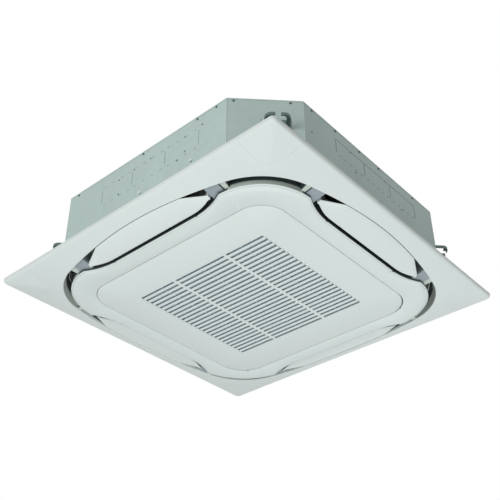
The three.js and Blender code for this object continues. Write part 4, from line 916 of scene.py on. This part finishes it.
def make_panel():
    border = carve(make_border("panel_border"), cover_tool(0.0, range(4)), "DIFFERENCE")
    shape = bmesh.new()
    for across, along, height in (HINGE_RELIEF, LATCH_WINDOW):
        for side in (-1, 1):
            add_block(shape, (side * across[0], side * across[1]), along, height)
    openings = piece_from_bmesh("ring_openings", shape)
    shape = bmesh.new()
    add_loft(shape, ring_loops(central_section), ring=True, paint=central_paint)
    central = piece_from_bmesh("panel_ring", shape, *PANEL_FINISHES)
    carve(central, openings, "DIFFERENCE")
    shape = bmesh.new()
    for quarter in range(4):
        add_pocket(shape, quarter)
        add_bridge(shape, quarter, 1)
        add_bridge(shape, quarter, -1)
    add_hinge_ears(shape)
    bmesh.ops.recalc_face_normals(shape, faces=shape.faces)
    for part in (central, border):
        shape.from_mesh(part.data)
        bpy.data.objects.remove(part)
    panel = piece_from_bmesh("panel_body", shape, *PANEL_FINISHES, outward=False)
    smooth(panel, 28.0)
    placed(panel, "unit", "panel_white", "panel_frame")


def make_corner_covers():
    cover = carve(make_border("cover"), cover_tool(0.22, [0]), "INTERSECT")
    smooth(cover, 28.0)
    for quarter, corner in enumerate(CORNERS):
        piece = quarter_turned(new_object(f"cover_{corner}", cover.data.copy()), quarter)
        placed(piece, "unit", "panel_white", f"corner_cover_{corner}")
    bpy.data.objects.remove(cover)


def flap_edges(y):
    side = abs(y)

    def bowed(v):
        return BOW_CENTRE + math.sqrt(OUTLET_BOW ** 2 - v * v) - FLAP_GAP_OUTSIDE

    outer = bowed(min(side, FLAP_SHOULDER))
    if side > FLAP_SHOULDER:
        tip = FLAP_AXIS[0] + FLAP_NECK
        outer += (tip - outer) * (side - FLAP_SHOULDER) / (FLAP_HALF - FLAP_SHOULDER)
    past = max(side - FLARE_START, 0.0)
    straight = RING_EDGE + FLAP_GAP_INSIDE
    inner = min(straight + past * past / (2 * FLAP_FLARE_RADIUS), FLAP_AXIS[0] - FLAP_NECK)
    return inner, outer


def flap_loop(y):
    inner, outer = flap_edges(y)
    lip = outlet_height(math.atan2(min(abs(y), FLAP_SHOULDER), OUTLET_MIDDLE))
    past = max(abs(y) - FLAP_SHOULDER, 0.0) / (FLAP_HALF - FLAP_SHOULDER)
    outer_z = lip + (FLAP_TIP_HEIGHT - lip) * past
    width = outer - inner
    lower = []
    steps = 14
    for i in range(steps + 1):
        share = i / steps
        crown = FLAP_CROWN * width * 4 * share * (1 - share)
        edge = 0.7 * max(0.0, 1 - min(share, 1 - share) * steps) ** 2
        level = FLAP_INSIDE_HEIGHT + (outer_z - FLAP_INSIDE_HEIGHT) * share
        lower.append((inner + width * share, y, level - crown + edge))
    walls = [1.3, *[3.0] * (steps - 2), 2.2, 1.3]
    upper = [(x, y, z + wall) for (x, _, z), wall in zip(lower, walls)]
    return [*lower, *reversed(upper)]


def make_flaps():
    even = [4.0 * i for i in range(37)]
    tapering = [FLAP_SHOULDER, 152.0, 160.0, 170.0, 180.0, 190.0, 198.0, 204.0, 208.0, 210.0, FLAP_HALF]
    places = sorted({round(sign * place, 3) for sign in (-1, 1) for place in even + tapering})
    x, z = FLAP_AXIS
    for quarter, side in enumerate(SIDES):
        shape = bmesh.new()
        add_loft(shape, [flap_loop(y) for y in places], ring=False, capped=True)
        for sign in (-1, 1):
            neck = (x - FLAP_NECK, x + FLAP_NECK)
            add_block(shape, neck, (sign * 204.0, sign * FLAP_HALF), (-31.0, z + 4.0))
            add_rod(shape, (x, sign * 205.0, z), (x, sign * 221.0, z), FLAP_PIN_RADIUS, 24)
        bmesh.ops.rotate(shape, verts=shape.verts, matrix=Matrix.Rotation(quarter * math.pi / 2, 3, "Z"))
        flap = piece_from_bmesh(f"flap_blade_{side}", shape, "flap_white")
        smooth(flap, 30.0)
        placed(flap, f"louvre_{side}", "panel_white", f"flap_{side}")


# ------------------------------------------------------------------ the suction grille and its filter

def rounded_outline(half_x, half_y, radius, steps=20):
    x, y = half_x - radius, half_y - radius
    return [*arc((x, y), radius, 0, 90, steps), *arc((-x, y), radius, 90, 180, steps),
            *arc((-x, -y), radius, 180, 270, steps), *arc((x, -y), radius, 270, 360, steps)]


def add_frame(shape, outer, inner, low, high):
    """An upright-walled frame between two outlines with the same number of points."""
    loops = []
    for (ox, oy), (ix, iy) in zip(outer, inner):
        loops.append([(ox, oy, low), (ox, oy, high), (ix, iy, high), (ix, iy, low)])
    add_loft(shape, loops, ring=True)


def grille_outline(inset, steps):
    """The grille's square edge. Its two corners beside the hinge are rounder than the others."""
    points = []
    for sign_x, sign_y, radius, start in ((1, 1, HINGE_SIDE_RADIUS, 0), (-1, 1, HINGE_SIDE_RADIUS, 90),
                                          (-1, -1, GRILLE_RADIUS, 180), (1, -1, GRILLE_RADIUS, 270)):
        centre = (sign_x * (GRILLE - radius), sign_y * (GRILLE - radius))
        points += arc(centre, radius - inset, start, start + 90, steps)
    return points


def add_grille_plate(shape):
    """The flat square with its rounded lower edge, round the field of slats."""
    length, rows, pitch, opening = SLOT_FIELD
    half_x = length / 2
    half_y = pitch * (rows - 1) / 2 + opening / 2
    steps = 20
    edge_rows = ((0.0, GRILLE_TOP), (0.0, PANEL_BOTTOM + 1.1),
                 (0.35, PANEL_BOTTOM + 0.35), (1.1, PANEL_BOTTOM))
    loops = []
    for inset, z in edge_rows:
        loops.append([(x, y, z) for x, y in grille_outline(inset, steps)])
    field = rounded_outline(half_x, half_y, 1.5, steps)
    loops.append([(x, y, PANEL_BOTTOM) for x, y in field])
    loops.append([(x, y, GRILLE_TOP) for x, y in field])
    add_loft(shape, loops, ring=True)


def ear_room():
    """A cutter for the panel's four hinge ears."""
    shape = bmesh.new()
    for start in HINGE_EARS:
        x = (start - 0.5, start + HINGE_EAR_WIDTH + 0.5)
        add_block(shape, x, (HINGE[0] - 6.0, GRILLE - 0.8), (PANEL_BOTTOM + HINGE_SKIN, 0.0))
    return piece_from_bmesh("ear_room", shape)


def room_behind_hinge():
    """A cutter for all that stands above the grille plate behind the hinge."""
    shape = bmesh.new()
    add_block(shape, (-BEHIND_HINGE, BEHIND_HINGE), (HINGE[0] - 1.0, GRILLE), (GRILLE_TOP + 0.01, 0.0))
    return piece_from_bmesh("room_behind_hinge", shape)


def grille_flange():
    """The upright wall round the grille, open along the hinge."""
    shape = bmesh.new()
    steps = 16
    half, radius, wall = GRILLE_FLANGE
    outer = rounded_outline(half, half, radius, steps)
    inner = rounded_outline(half - wall, half - wall, radius - wall, steps)
    add_frame(shape, outer, inner, GRILLE_TOP - 1.0, GRILLE_FLANGE_TOP)
    return carve(piece_from_bmesh("grille_flange", shape, "panel_white"), room_behind_hinge(), "DIFFERENCE")


def add_grille_fittings(shape):
    y, z = HINGE
    for side in (-1, 1):
        knuckle = (side * HINGE_PLACE - 6.0, side * HINGE_PLACE + 6.0)
        add_block(shape, knuckle, (y - 2.6, y + 2.6), (-40.0, z + 2.4))
        add_block(shape, (side * 286.0, side * 290.0), (-100.0, 100.0), (-40.0, -31.2))
        add_block(shape, (side * 280.0, side * 290.0), (-100.0, 100.0), (-32.4, -30.9))


def make_grille():
    length, rows, pitch, opening = SLOT_FIELD
    half_bar = (pitch - opening) / 2
    first = -pitch * (rows - 2) / 2
    rounding = [(half_bar, PANEL_BOTTOM + 0.9), (half_bar - 0.3, PANEL_BOTTOM + 0.25),
                (half_bar - 1.0, PANEL_BOTTOM)]
    top = [(half_bar - 0.6, GRILLE_TOP + 0.1), (0.6 - half_bar, GRILLE_TOP + 0.1)]
    profile = [*[(-y, z) for y, z in rounding], *reversed(rounding), *top]
    shape = bmesh.new()
    ends = [[(x, first + y, z) for y, z in profile] for x in (-length / 2 - 1.0, length / 2 + 1.0)]
    add_loft(shape, ends, ring=False, capped=True)
    slats = piece_from_bmesh("grille_slats", shape, "panel_white")
    ROW.apply(slats, "panel_white", Count=rows - 1, Step=(0.0, pitch * MM, 0.0))
    shape = bmesh.new()
    add_grille_plate(shape)
    plate = carve(piece_from_bmesh("grille_plate", shape, "panel_white"), ear_room(), "DIFFERENCE")
    flange = grille_flange()
    shape = bmesh.new()
    half_y = pitch * (rows - 1) / 2 + opening / 2
    for place in (-SLOT_RIB_PLACE, SLOT_RIB_PLACE):
        across = (place - SLOT_RIB / 2, place + SLOT_RIB / 2)
        add_block(shape, across, (-half_y - 1.0, half_y + 1.0), (PANEL_BOTTOM + 0.02, GRILLE_TOP + 0.4))
    add_grille_fittings(shape)
    bmesh.ops.recalc_face_normals(shape, faces=shape.faces)
    for part in (slats, plate, flange):
        shape.from_mesh(part.data)
        bpy.data.objects.remove(part)
    grille = piece_from_bmesh("grille_panel", shape, "panel_white", outward=False)
    smooth(grille, 30.0)
    placed(grille, "grille", "panel_white", "suction_grille")


def make_filter():
    half = FILTER_HALF
    low = GRILLE_TOP + 0.3
    shape = bmesh.new()
    outer = rounded_outline(half, half, 30.0, 8)
    inner = rounded_outline(half - 12.0, half - 12.0, 18.0, 8)
    add_frame(shape, outer, inner, low, low + 6.0)
    for place in (-half / 2, 0.0, half / 2):
        add_block(shape, (place - 2.0, place + 2.0), (-half + 5.0, half - 5.0), (low + 1.2, low + 5.0))
        add_block(shape, (-half + 5.0, half - 5.0), (place - 2.0, place + 2.0), (low + 1.2, low + 4.8))
    holder = bevel(piece_from_bmesh("filter_holder", shape, "filter_frame"), 0.5)
    smooth(holder)
    placed(holder, "filter", "dark_plastic", "air_filter")
    reach = half - 8.0
    first = 3.0 - reach
    count = int((2 * reach - 6.0) / THREAD_PITCH) + 1
    warp = ("filter_warp", (first, 0.0), (0.45, reach), (THREAD_PITCH, 0.0), 2.2)
    weft = ("filter_weft", (0.0, first), (reach, 0.45), (0.0, THREAD_PITCH), 2.8)
    for name, (x, y), (half_x, half_y), step, lift in (warp, weft):
        shape = bmesh.new()
        add_block(shape, (x - half_x, x + half_x), (y - half_y, y + half_y), (low + lift, low + lift + 0.5))
        threads = piece_from_bmesh(name, shape, "filter_cloth")
        ROW.apply(threads, "filter_cloth", Count=count, Step=(step[0] * MM, step[1] * MM, 0.0))
        placed(threads, "filter", "dark_plastic")
    shape = bmesh.new()
    add_block(shape, (-reach, reach), (-reach, reach), (low + 3.4, low + 3.8))
    cloth = piece_from_bmesh("filter_net", shape, "filter_cloth")
    placed(cloth, "filter", "dark_plastic")


# ------------------------------------------------------------------ the steel casing

FACE_TURNS = {"right": 0, "back": 90, "left": 180, "front": -90}
FACE_TURNS.update((corner, 45 + 90 * quarter) for quarter, corner in enumerate(CORNERS))


def face_place(face, along, height, proud):
    """A point on the casing: along a face in mm from its middle, at a height, standing proud of it."""
    reach = BODY if face in SIDES else (2 * BODY - BODY_CHAMFER) / math.sqrt(2)
    turn = math.radians(FACE_TURNS[face])
    x = (reach + proud) * math.cos(turn) - along * math.sin(turn)
    y = (reach + proud) * math.sin(turn) + along * math.cos(turn)
    return (x, y, height)


def face_turn(face):
    return (math.radians(90), 0.0, math.radians(FACE_TURNS[face] + 90))


FACE_HEIGHTS = {"right": (138.0, 177.0)}
USUAL_HEIGHTS = (126.0, 163.0)
KNOCKOUT_LINES = {"front": (-152.0, -36.0, 83.0, 199.0), "right": (-163.0, -41.0, 77.0, 197.0),
                  "back": (-199.0, -83.0, 36.0), "left": (-77.0, 41.0, 163.0)}
DIMPLES = {
    "front": ((-86.5, 118.6), (-88.8, 167.0), (-31.8, 170.0), (29.0, 173.0),
              (152.0, 171.0), (210.0, 177.0), (153.0, 124.0), (127.5, 109.0)),
    "right": ((-261.5, 132.0), (-84.0, 120.0), (18.0, 86.0), (127.0, 125.0), (-100.0, 176.0), (55.0, 178.0)),
    "back": ((-120.0, 120.0), (20.0, 171.0), (90.0, 120.0)),
    "left": ((-150.0, 150.0), (-20.0, 120.0), (80.0, 171.0))}
PLAIN_SIDE = ((-256.0, 205.0), (0.0, 205.0), (256.0, 205.0))
PLAIN_CORNER = ((-61.0, 205.0), (61.0, 205.0))
EDGE_SCREWS = {
    "front": ((-256.0, 205.0), (0.0, 205.0), (193.0, 205.0), (256.5, 205.0)),
    "right": ((-257.0, 206.0), (-162.0, 206.0), (-58.0, 206.0), (30.0, 206.0), (196.0, 206.0)),
    "back": PLAIN_SIDE, "left": PLAIN_SIDE, "right_front": ((-76.0, 205.0), (61.0, 205.0)),
    "left_front": PLAIN_CORNER, "right_back": PLAIN_CORNER, "left_back": PLAIN_CORNER}
LARGE_SCREWS = {"front": ((-1.2, 76.6), (175.6, 80.3)), "right": ((-150.0, 62.0), (120.0, 60.0)),
                "back": ((-170.0, 70.0), (60.0, 70.0)), "left": ((-60.0, 60.0), (120.0, 60.0))}


def level_rows(face, low, high):
    """Height, inset and spacing of the level marks above and below a row of openings."""
    if face in FACE_HEIGHTS:
        return ((low - 7.0, 14.0, 20.0), (high + 2.0, 0.0, 8.6))
    return ((low - 14.0, 12.0, 26.0), (high + 9.0, 12.0, 26.0))


def make_knockouts():
    """Perforated outlines of the side openings that can be knocked out of the sheet."""
    for face, lines in KNOCKOUT_LINES.items():
        upright, level = [], []
        low, high = FACE_HEIGHTS.get(face, USUAL_HEIGHTS)
        step = 4.0 if face in FACE_HEIGHTS else 6.0
        for x in lines:
            rows = int((high - low) / step) + 1
            upright += [face_place(face, x, low + step * i, 0.06) for i in range(rows)]
        for left, right in zip(lines, lines[1:]):
            for z, inset, gap in level_rows(face, low, high):
                count = int((right - left - 2 * inset) / gap)
                for i in range(count + 1):
                    along = left + inset + i * (right - left - 2 * inset) / count
                    level.append(face_place(face, along, z, 0.06))
        across = face in ("front", "back")
        upright_size = (1.3, 0.5, 4.4) if across else (0.5, 1.3, 4.4)
        level_size = (9.0, 0.5, 0.8) if across else (0.5, 9.0, 1.1)
        for label, points, size in (("upright", upright, upright_size), ("level", level, level_size)):
            piece = points_piece(f"knockout_{label}_{face}", points)
            DASHES.apply(piece, "punched_mark", Size=tuple(v * MM for v in size))
            placed(piece, "unit", "zinc_steel")


def add_screws(name, face, spots, proud, finish, radius, height):
    piece = points_piece(name, [face_place(face, along, z, proud) for along, z in spots])
    SCREWS.apply(piece, finish, Radius=radius, Height=height, Turn=face_turn(face))
    placed(piece, "unit", "zinc_steel")


SCREW_KINDS = (("edge_screws", EDGE_SCREWS, 0.5, "punched_mark", 0.0032, 0.0022),
               ("wall_screws", LARGE_SCREWS, 0.9, "bright_zinc", 0.0055, 0.0036),
               ("dimples", DIMPLES, 0.1, "punched_mark", 0.0026, 0.0008))


def make_casing_screws():
    for label, faces, *looks in SCREW_KINDS:
        for face, spots in faces.items():
            add_screws(f"{label}_{face}", face, spots, *looks)


def octagon(half, chamfer):
    near = half - chamfer
    upper = [(half, near), (near, half), (-near, half), (-half, near)]
    return [*upper, *[(-x, -y) for x, y in upper]]


def make_roof():
    """The top plate, with a turned-down hem round its edge."""
    shape = bmesh.new()
    outer = octagon(BODY + HEM, BODY_CHAMFER + HEM * CHAMFER_SHARE)
    inner = octagon(BODY - ROOF_ROUND, BODY_CHAMFER - ROOF_ROUND * CHAMFER_SHARE)
    loops = []
    for (ox, oy), (ix, iy) in zip(outer, inner):
        foot = (ix + 0.95 * (ox - ix), iy + 0.95 * (oy - iy), HEM_FOOT)
        top = [(ox, oy, BODY_TOP - 0.6), (ix, iy, BODY_TOP), (ix, iy, BODY_TOP - 1.1)]
        loops.append([(ox, oy, HEM_FOOT), *top, foot])
    add_loft(shape, loops, ring=True)
    add_slab(shape, inner, BODY_TOP - 1.15, BODY_TOP)
    roof = piece_from_bmesh("roof_sheet", shape, "zinc_sheet")
    smooth(roof, 20.0)
    placed(roof, "unit", "zinc_steel", "top_plate")
    shape = bmesh.new()
    for middle in (-145.0, 0.0, 145.0):
        outline = [(x, y + middle) for x, y in rounded_outline(300.0, 5.0, 4.9, 8)]
        add_slab(shape, outline, BODY_TOP - 0.8, BODY_TOP - 0.02)
    ribs = bevel(piece_from_bmesh("roof_ribs", shape, "zinc_sheet"), 0.6, 3)
    smooth(ribs, 40.0)
    placed(ribs, "unit", "zinc_steel")


def make_casing():
    casing = frame["nodes"]["side_casing"]
    dress(casing, "zinc_sheet")
    make_roof()
    make_knockouts()
    make_casing_screws()
    shape = bmesh.new()
    near = BODY - BODY_CHAMFER
    for sx in (-1, 1):
        for sy in (-1, 1):
            for x, y in ((BODY, near), (near, BODY)):
                add_rod(shape, (sx * x, sy * y, BODY_BOTTOM + 0.4), (sx * x, sy * y, 212.0), 0.75, 12)
    folds = piece_from_bmesh("casing_folds", shape, "zinc_sheet")
    smooth(folds)
    placed(folds, "unit", "zinc_steel")


# ------------------------------------------------------------------ hangers, pipes and the drain

def make_hangers():
    for quarter, corner in enumerate(CORNERS):
        bracket = merged_solid(f"hanger_bracket_{corner}", f"hanger_{corner}")
        bevel(bracket, 0.5, 2)
        # The brackets' dark steel is painted shade for their shadowed undersides.
        dress(bracket, "bracket_steel")
        smooth(bracket, 40.0)
        placed(bracket, "unit", "dark_steel", f"hanger_bracket_{corner}")
        shift = RIVET_SHIFT if quarter % 2 else -RIVET_SHIFT
        spots = [(side * 31.0 + shift, z) for side in (-1, 1) for z in (116.0, 140.0)]
        add_screws(f"hanger_rivets_{corner}", corner, spots, 3.6, "bright_zinc", 0.0034, 0.002)


def add_pipe(shape, points, radius, sides=28):
    """A round tube through points in mm, with its bends smoothed."""
    path = [Vector(p) for p in points]
    fine = []
    for i in range(len(path) - 1):
        before = path[max(i - 1, 0)]
        a, b = path[i], path[i + 1]
        after = path[min(i + 2, len(path) - 1)]
        for k in range(8):
            t = k / 8
            fine.append(0.5 * ((2 * a) + (b - before) * t + (2 * before - 5 * a + 4 * b - after) * t * t
                               + (3 * a - before - 3 * b + after) * t ** 3))
    fine.append(path[-1])
    side = (fine[1] - fine[0]).orthogonal().normalized()
    loops = []
    for i, point in enumerate(fine):
        ahead = (fine[min(i + 1, len(fine) - 1)] - fine[max(i - 1, 0)]).normalized()
        side = (side - ahead * side.dot(ahead)).normalized()
        other = ahead.cross(side)
        turns = [2 * math.pi * k / sides for k in range(sides)]
        loops.append([point + radius * (side * math.cos(turn) + other * math.sin(turn)) for turn in turns])
    add_loft(shape, loops, ring=False, capped=True)


def make_pipes():
    shape = bmesh.new()
    x, y, z = GAS_LINE
    add_rod(shape, (x, y, 44), (x, y, 192), 7.95, 32)
    add_rod(shape, (x, y, z), (PIPE_END, y, z), 7.94, 32)
    for height in (60, 100, 140, 180):
        add_rod(shape, (x, y - 12, height), (x, y, height), 3.0, 16)
    gas = piece_from_bmesh("gas_line", shape, "copper_tube")
    smooth(gas)
    placed(gas, "unit", "copper", "gas_pipe")
    shape = bmesh.new()
    x, y, z = LIQUID_LINE
    add_rod(shape, (x, y, 60), (x, y, 182), 4.74, 24)
    bend = [(x, y, z), (x, 300, z), (x, 284, z), (x - 4, 274, z), (x - 14, 270, z)]
    run = [(along, 270, z) for along in (-290, -335, -420, PIPE_END)]
    add_pipe(shape, bend + run, 4.74, 24)
    for height in (80, 120, 160):
        add_rod(shape, (x, y, height), (x + 8.5, y, height), 2.4, 12)
    liquid = piece_from_bmesh("liquid_line", shape, "copper_tube")
    smooth(liquid)
    placed(liquid, "unit", "copper", "liquid_pipe")
    for name, node in (("gas_nut", "gas_flare_nut"), ("liquid_nut", "liquid_flare_nut")):
        nut = bevel(merged_solid(node, name), 0.9, 3, 50.0)
        dress(nut, "brass_nut")
        smooth(nut, 35.0)
        placed(nut, "unit", "brass", node)


def make_drain():
    shape = bmesh.new()
    x, z = DRAIN_PLACE
    bead = []
    for ring in (12.0, 20.0, 28.0):
        bead += [(16.0, ring - 1.2), (16.9, ring), (16.0, ring + 1.2)]
    bore = [(13.0, -12.0), (13.0, 31.0), (13.8, 32.0), (15.4, 32.0)]
    flange = [(16.0, 3.3), (23.2, 3.3), (24.0, 2.6), (24.0, 0.3), (16.0, 0.3)]
    inner_end = [(16.0, -19.7), (0.0, -19.7), (0.0, -12.0)]
    outline = [*bore, *reversed(bead), *flange, *inner_end]
    sides = 48
    loops = []
    for i in range(sides):
        a = 2 * math.pi * i / sides
        loops.append([(x + r * math.cos(a), BODY + y, z + r * math.sin(a)) for r, y in outline])
    add_loft(shape, loops, ring=True)
    bmesh.ops.remove_doubles(shape, verts=shape.verts, dist=1e-6)
    socket = piece_from_bmesh("drain_stub", shape, "grey_plastic")
    smooth(socket, 35.0)
    placed(socket, "unit", "grey_plastic", "drain_socket")


# ------------------------------------------------------------------ the fan, the coil and what is round them

def make_fan():
    shape = bmesh.new()
    steps = 16
    turns = [math.pi / 2 * i / steps for i in range(1, steps + 1)]
    rim, foot, low, high = 281.8, 260.0, 8.0, 11.2
    inside = [(foot - 51.0 * math.sin(t), low + 42.0 * (1 - math.cos(t))) for t in turns]
    outside = [(foot - 48.5 * math.sin(t), high + 38.8 * (1 - math.cos(t))) for t in reversed(turns)]
    bell = [(rim, low), (foot, low), *inside, *outside, (foot, high), (rim, high)]
    add_turned(shape, bell, 128)
    mouth = piece_from_bmesh("inlet_mouth", shape, "dark_plastic")
    smooth(mouth, 40.0)
    placed(mouth, "unit", "dark_plastic", "bell_mouth")
    shape = bmesh.new()
    hub = [(6.1, 92), (14, 92), (14, 104), (15, 105), (80, 105), (86, 106.5), (90, 110),
           (112, 153), (117, 157), (122, 158), (238, 158), (238, 161), (120, 161), (114, 160),
           (109.5, 156), (87, 113), (83.5, 109.4), (79, 108.5), (14, 108.5), (14, 114), (6.1, 114)]
    add_turned(shape, hub, 112)
    shroud = [(218, 46), (218, 52), (219.6, 57), (224, 63), (231, 70), (240, 77),
              (240, 80), (230, 74), (222, 67), (217.4, 60), (216, 53), (216, 46)]
    add_turned(shape, shroud, 112)
    wheel = piece_from_bmesh("fan_wheel", shape, "fan_plastic")
    shape = bmesh.new()
    loops = []
    for i in range(13):
        share = i / 12
        radius = BLADE_ROOT + (BLADE_TIP - BLADE_ROOT) * share
        sweep = -BLADE_SWEEP * share ** 1.3
        half = 2.0 * (1 - 0.55 * abs(2 * share - 0.7) ** 2)
        low = 74.6 if radius > 216 else 78.0
        loop = []
        for sign, z in ((-1, low), (1, low), (1, 158.5), (-1, 158.5)):
            angle = math.radians(sweep) + sign * half / radius
            loop.append((radius * math.cos(angle), radius * math.sin(angle), z))
        loops.append(loop)
    add_loft(shape, loops, ring=False, capped=True)
    blades = piece_from_bmesh("fan_blades", shape, "fan_plastic")
    WHEEL.apply(blades, "fan_plastic", Count=BLADES, Turn=2 * math.pi / BLADES)
    shape = bmesh.new()
    shape.from_mesh(wheel.data)
    shape.from_mesh(blades.data)
    bpy.data.objects.remove(wheel)
    bpy.data.objects.remove(blades)
    impeller = piece_from_bmesh("fan_rotor", shape, "fan_plastic", outward=False)
    smooth(impeller, 35.0)
    placed(impeller, "fan", "grey_plastic", "impeller")


def coil_path(half):
    """The way the fin pack runs round three corners, at a distance from the middle."""
    points = [(-half, COIL_START)]
    for sx, sy, start in ((-1, -1, 180), (1, -1, 270), (1, 1, 0)):
        points += arc((sx * COIL_BEND, sy * COIL_BEND), half - COIL_BEND, start, start + 90, 10)
    return [*points, (-COIL_START, half)]


def make_coil():
    low, high = COIL_HEIGHTS
    points = [Vector((x, y, (low + high) / 2)) * MM for x, y in coil_path(COIL_MIDDLE)]
    mesh = bpy.data.meshes.new("coil_fins")
    mesh.from_pydata(points, [(i, i + 1) for i in range(len(points) - 1)], [])
    fins = new_object("coil_fins", mesh)
    FINS.apply(fins, "fin_pack", Spacing=0.0024, Size=(0.0005, 0.0395, (high - low) * MM))
    placed(fins, "unit", "fin", "coil")
    shape = bmesh.new()
    for half in (COIL_MIDDLE - 10.0, COIL_MIDDLE + 10.0):
        flat = coil_path(half)
        for z in TUBE_HEIGHTS:
            add_pipe(shape, [(x, y, z) for x, y in flat], 4.0, 8)
    place = COIL_START + 2.5
    ends = ((-COIL_MIDDLE, place, (1, 0), (0, 1)), (-place, COIL_MIDDLE, (0, 1), (-1, 0)))
    steps = ((-10, 0), (-10, 7), (0, 13), (10, 7), (10, 0))
    for z in TUBE_HEIGHTS:
        for x, y, along, out in ends:
            bend = [(x + a * along[0] + b * out[0], y + a * along[1] + b * out[1], z) for a, b in steps]
            add_pipe(shape, bend, 4.0, 10)
    tubes = piece_from_bmesh("coil_tubes", shape, "copper_tube")
    smooth(tubes)
    placed(tubes, "unit", "copper")


KEPT = {
    "zinc_sheet": ("base_plate", "coil_plate_left", "coil_plate_back", "pipe_cover",
                   "pump_bracket", "control_box", "control_box_cover"),
    "bright_zinc": ("grille_pin_left", "grille_pin_right", "fan_nut"),
    "cast_foam": ("insulation_liner", "drain_pan", "switch_float"),
    "soft_foam": ("outlet_seal", "intake_seal"),
    "motor_paint": ("fan_motor",),
    "black_rubber": ("drain_plug", "drain_hose", "motor_bush_1", "motor_bush_2", "motor_bush_3"),
    "dark_plastic": ("drain_pump",),
    "grey_plastic": ("float_switch", "grille_latch_left", "grille_latch_right",
                     *(f"flap_motor_{side}" for side in SIDES)),
    "bracket_steel": tuple(f"panel_screw_{corner}" for corner in CORNERS),
}


def dress_kept_solids():
    for finish, nodes in KEPT.items():
        for node in nodes:
            dress(frame["nodes"][node], finish)


# ------------------------------------------------------------------ camera, light and floor

WORLD_LIGHT = 0.35
FLOOR_GLOW = 0.35
CAMERA_TURNS = (40.55, -35.07, -0.63)
CAMERA_TARGET = (0.11278, -0.11984, 0.0)
CAMERA_DISTANCE = 2.19171


def aim(place, target):
    return (Vector(target) - Vector(place)).to_track_quat("-Z", "Y")


def make_camera():
    azimuth, elevation, roll = (math.radians(angle) for angle in CAMERA_TURNS)
    level = math.cos(elevation)
    back = Vector((math.sin(azimuth) * level, -math.cos(azimuth) * level, math.sin(elevation)))
    lens = bpy.data.cameras.new("camera")
    lens.sensor_fit = "HORIZONTAL"
    lens.sensor_width = 36.0
    lens.lens = 61.103
    lens.shift_x = -0.00762
    lens.shift_y = 0.0055
    lens.clip_start = 0.05
    lens.clip_end = 60.0
    camera = new_object("camera", lens)
    camera.location = Vector(CAMERA_TARGET) + back * CAMERA_DISTANCE
    turn = back.to_track_quat("Z", "Y")
    camera.rotation_mode = "QUATERNION"
    camera.rotation_quaternion = turn @ Matrix.Rotation(roll, 3, "Z").to_quaternion()
    bpy.context.scene.camera = camera


def make_lamp(name, place, target, size, power, colour):
    data = bpy.data.lights.new(name, "AREA")
    data.shape = "DISK"
    data.size = size
    data.energy = power
    data.color = colour
    lamp = new_object(name, data)
    lamp.location = place
    lamp.rotation_mode = "QUATERNION"
    lamp.rotation_quaternion = aim(place, target)


def make_studio():
    world = bpy.data.worlds.new("studio")
    world.use_nodes = True
    tree = world.node_tree
    rays = add_node(tree, "ShaderNodeLightPath").outputs
    largest = {"operation": "MAXIMUM"}
    through = add_node(tree, "ShaderNodeMath", largest, {
        0: rays["Is Camera Ray"], 1: rays["Is Transmission Ray"]})
    seen = add_node(tree, "ShaderNodeMath", largest, {0: through.outputs[0], 1: rays["Is Glossy Ray"]})
    strength = add_node(tree, "ShaderNodeMapRange", {}, {
        "To Min": WORLD_LIGHT, "To Max": 1.0, "Value": seen.outputs[0]})
    background = tree.nodes["Background"]
    background.inputs["Color"].default_value = (1.0, 1.0, 1.0, 1.0)
    feed(tree, background.inputs["Strength"], strength.outputs["Result"])
    bpy.context.scene.world = world
    make_lamp("key", (0.2, -3.2, -0.7), (0.0, 0.0, 0.1), 1.8, 42.0, (1.0, 1.0, 1.0))
    make_lamp("under", (0.5, 0.25, -2.1), (0.0, 0.0, 0.0), 2.0, 25.5, (0.97, 1.0, 1.0))


def floor_finish():
    finish = Finish("studio_floor", (0.9, 0.9, 0.9), 0.8, specular=0.1)
    finish.tinted(finish.noise(1.5, 4.0), 0.99, 1.01)
    rays = finish.add("ShaderNodeLightPath").outputs["Is Camera Ray"]
    glow = finish.add("ShaderNodeEmission", {}, {"Color": (1.0, 1.0, 1.0, 1.0), "Strength": FLOOR_GLOW})
    both = finish.add("ShaderNodeAddShader", {}, {0: finish.shader.outputs[0], 1: glow.outputs[0]})
    mix = finish.add("ShaderNodeMixShader", {}, {0: rays, 1: finish.shader.outputs[0], 2: both.outputs[0]})
    out = finish.tree.nodes["Material Output"]
    finish.tree.links.new(mix.outputs[0], out.inputs["Surface"])
    return finish.material


def make_floor():
    shape = bmesh.new()
    size, below = 9.0, -2.45
    square = ((-size, -size), (size, -size), (size, size), (-size, size))
    shape.faces.new([shape.verts.new((x, y, below)) for x, y in square])
    floor = piece_from_bmesh("floor", shape, outward=False)
    floor.data.materials.append(floor_finish())


make_camera()
make_studio()
make_floor()
make_panel()
make_corner_covers()
make_flaps()
make_grille()
make_filter()
make_casing()
make_hangers()
make_pipes()
make_drain()
make_fan()
make_coil()
dress_kept_solids()

view = bpy.context.scene.view_settings
view.view_transform = "Standard"

bpy.context.view_layer.update()
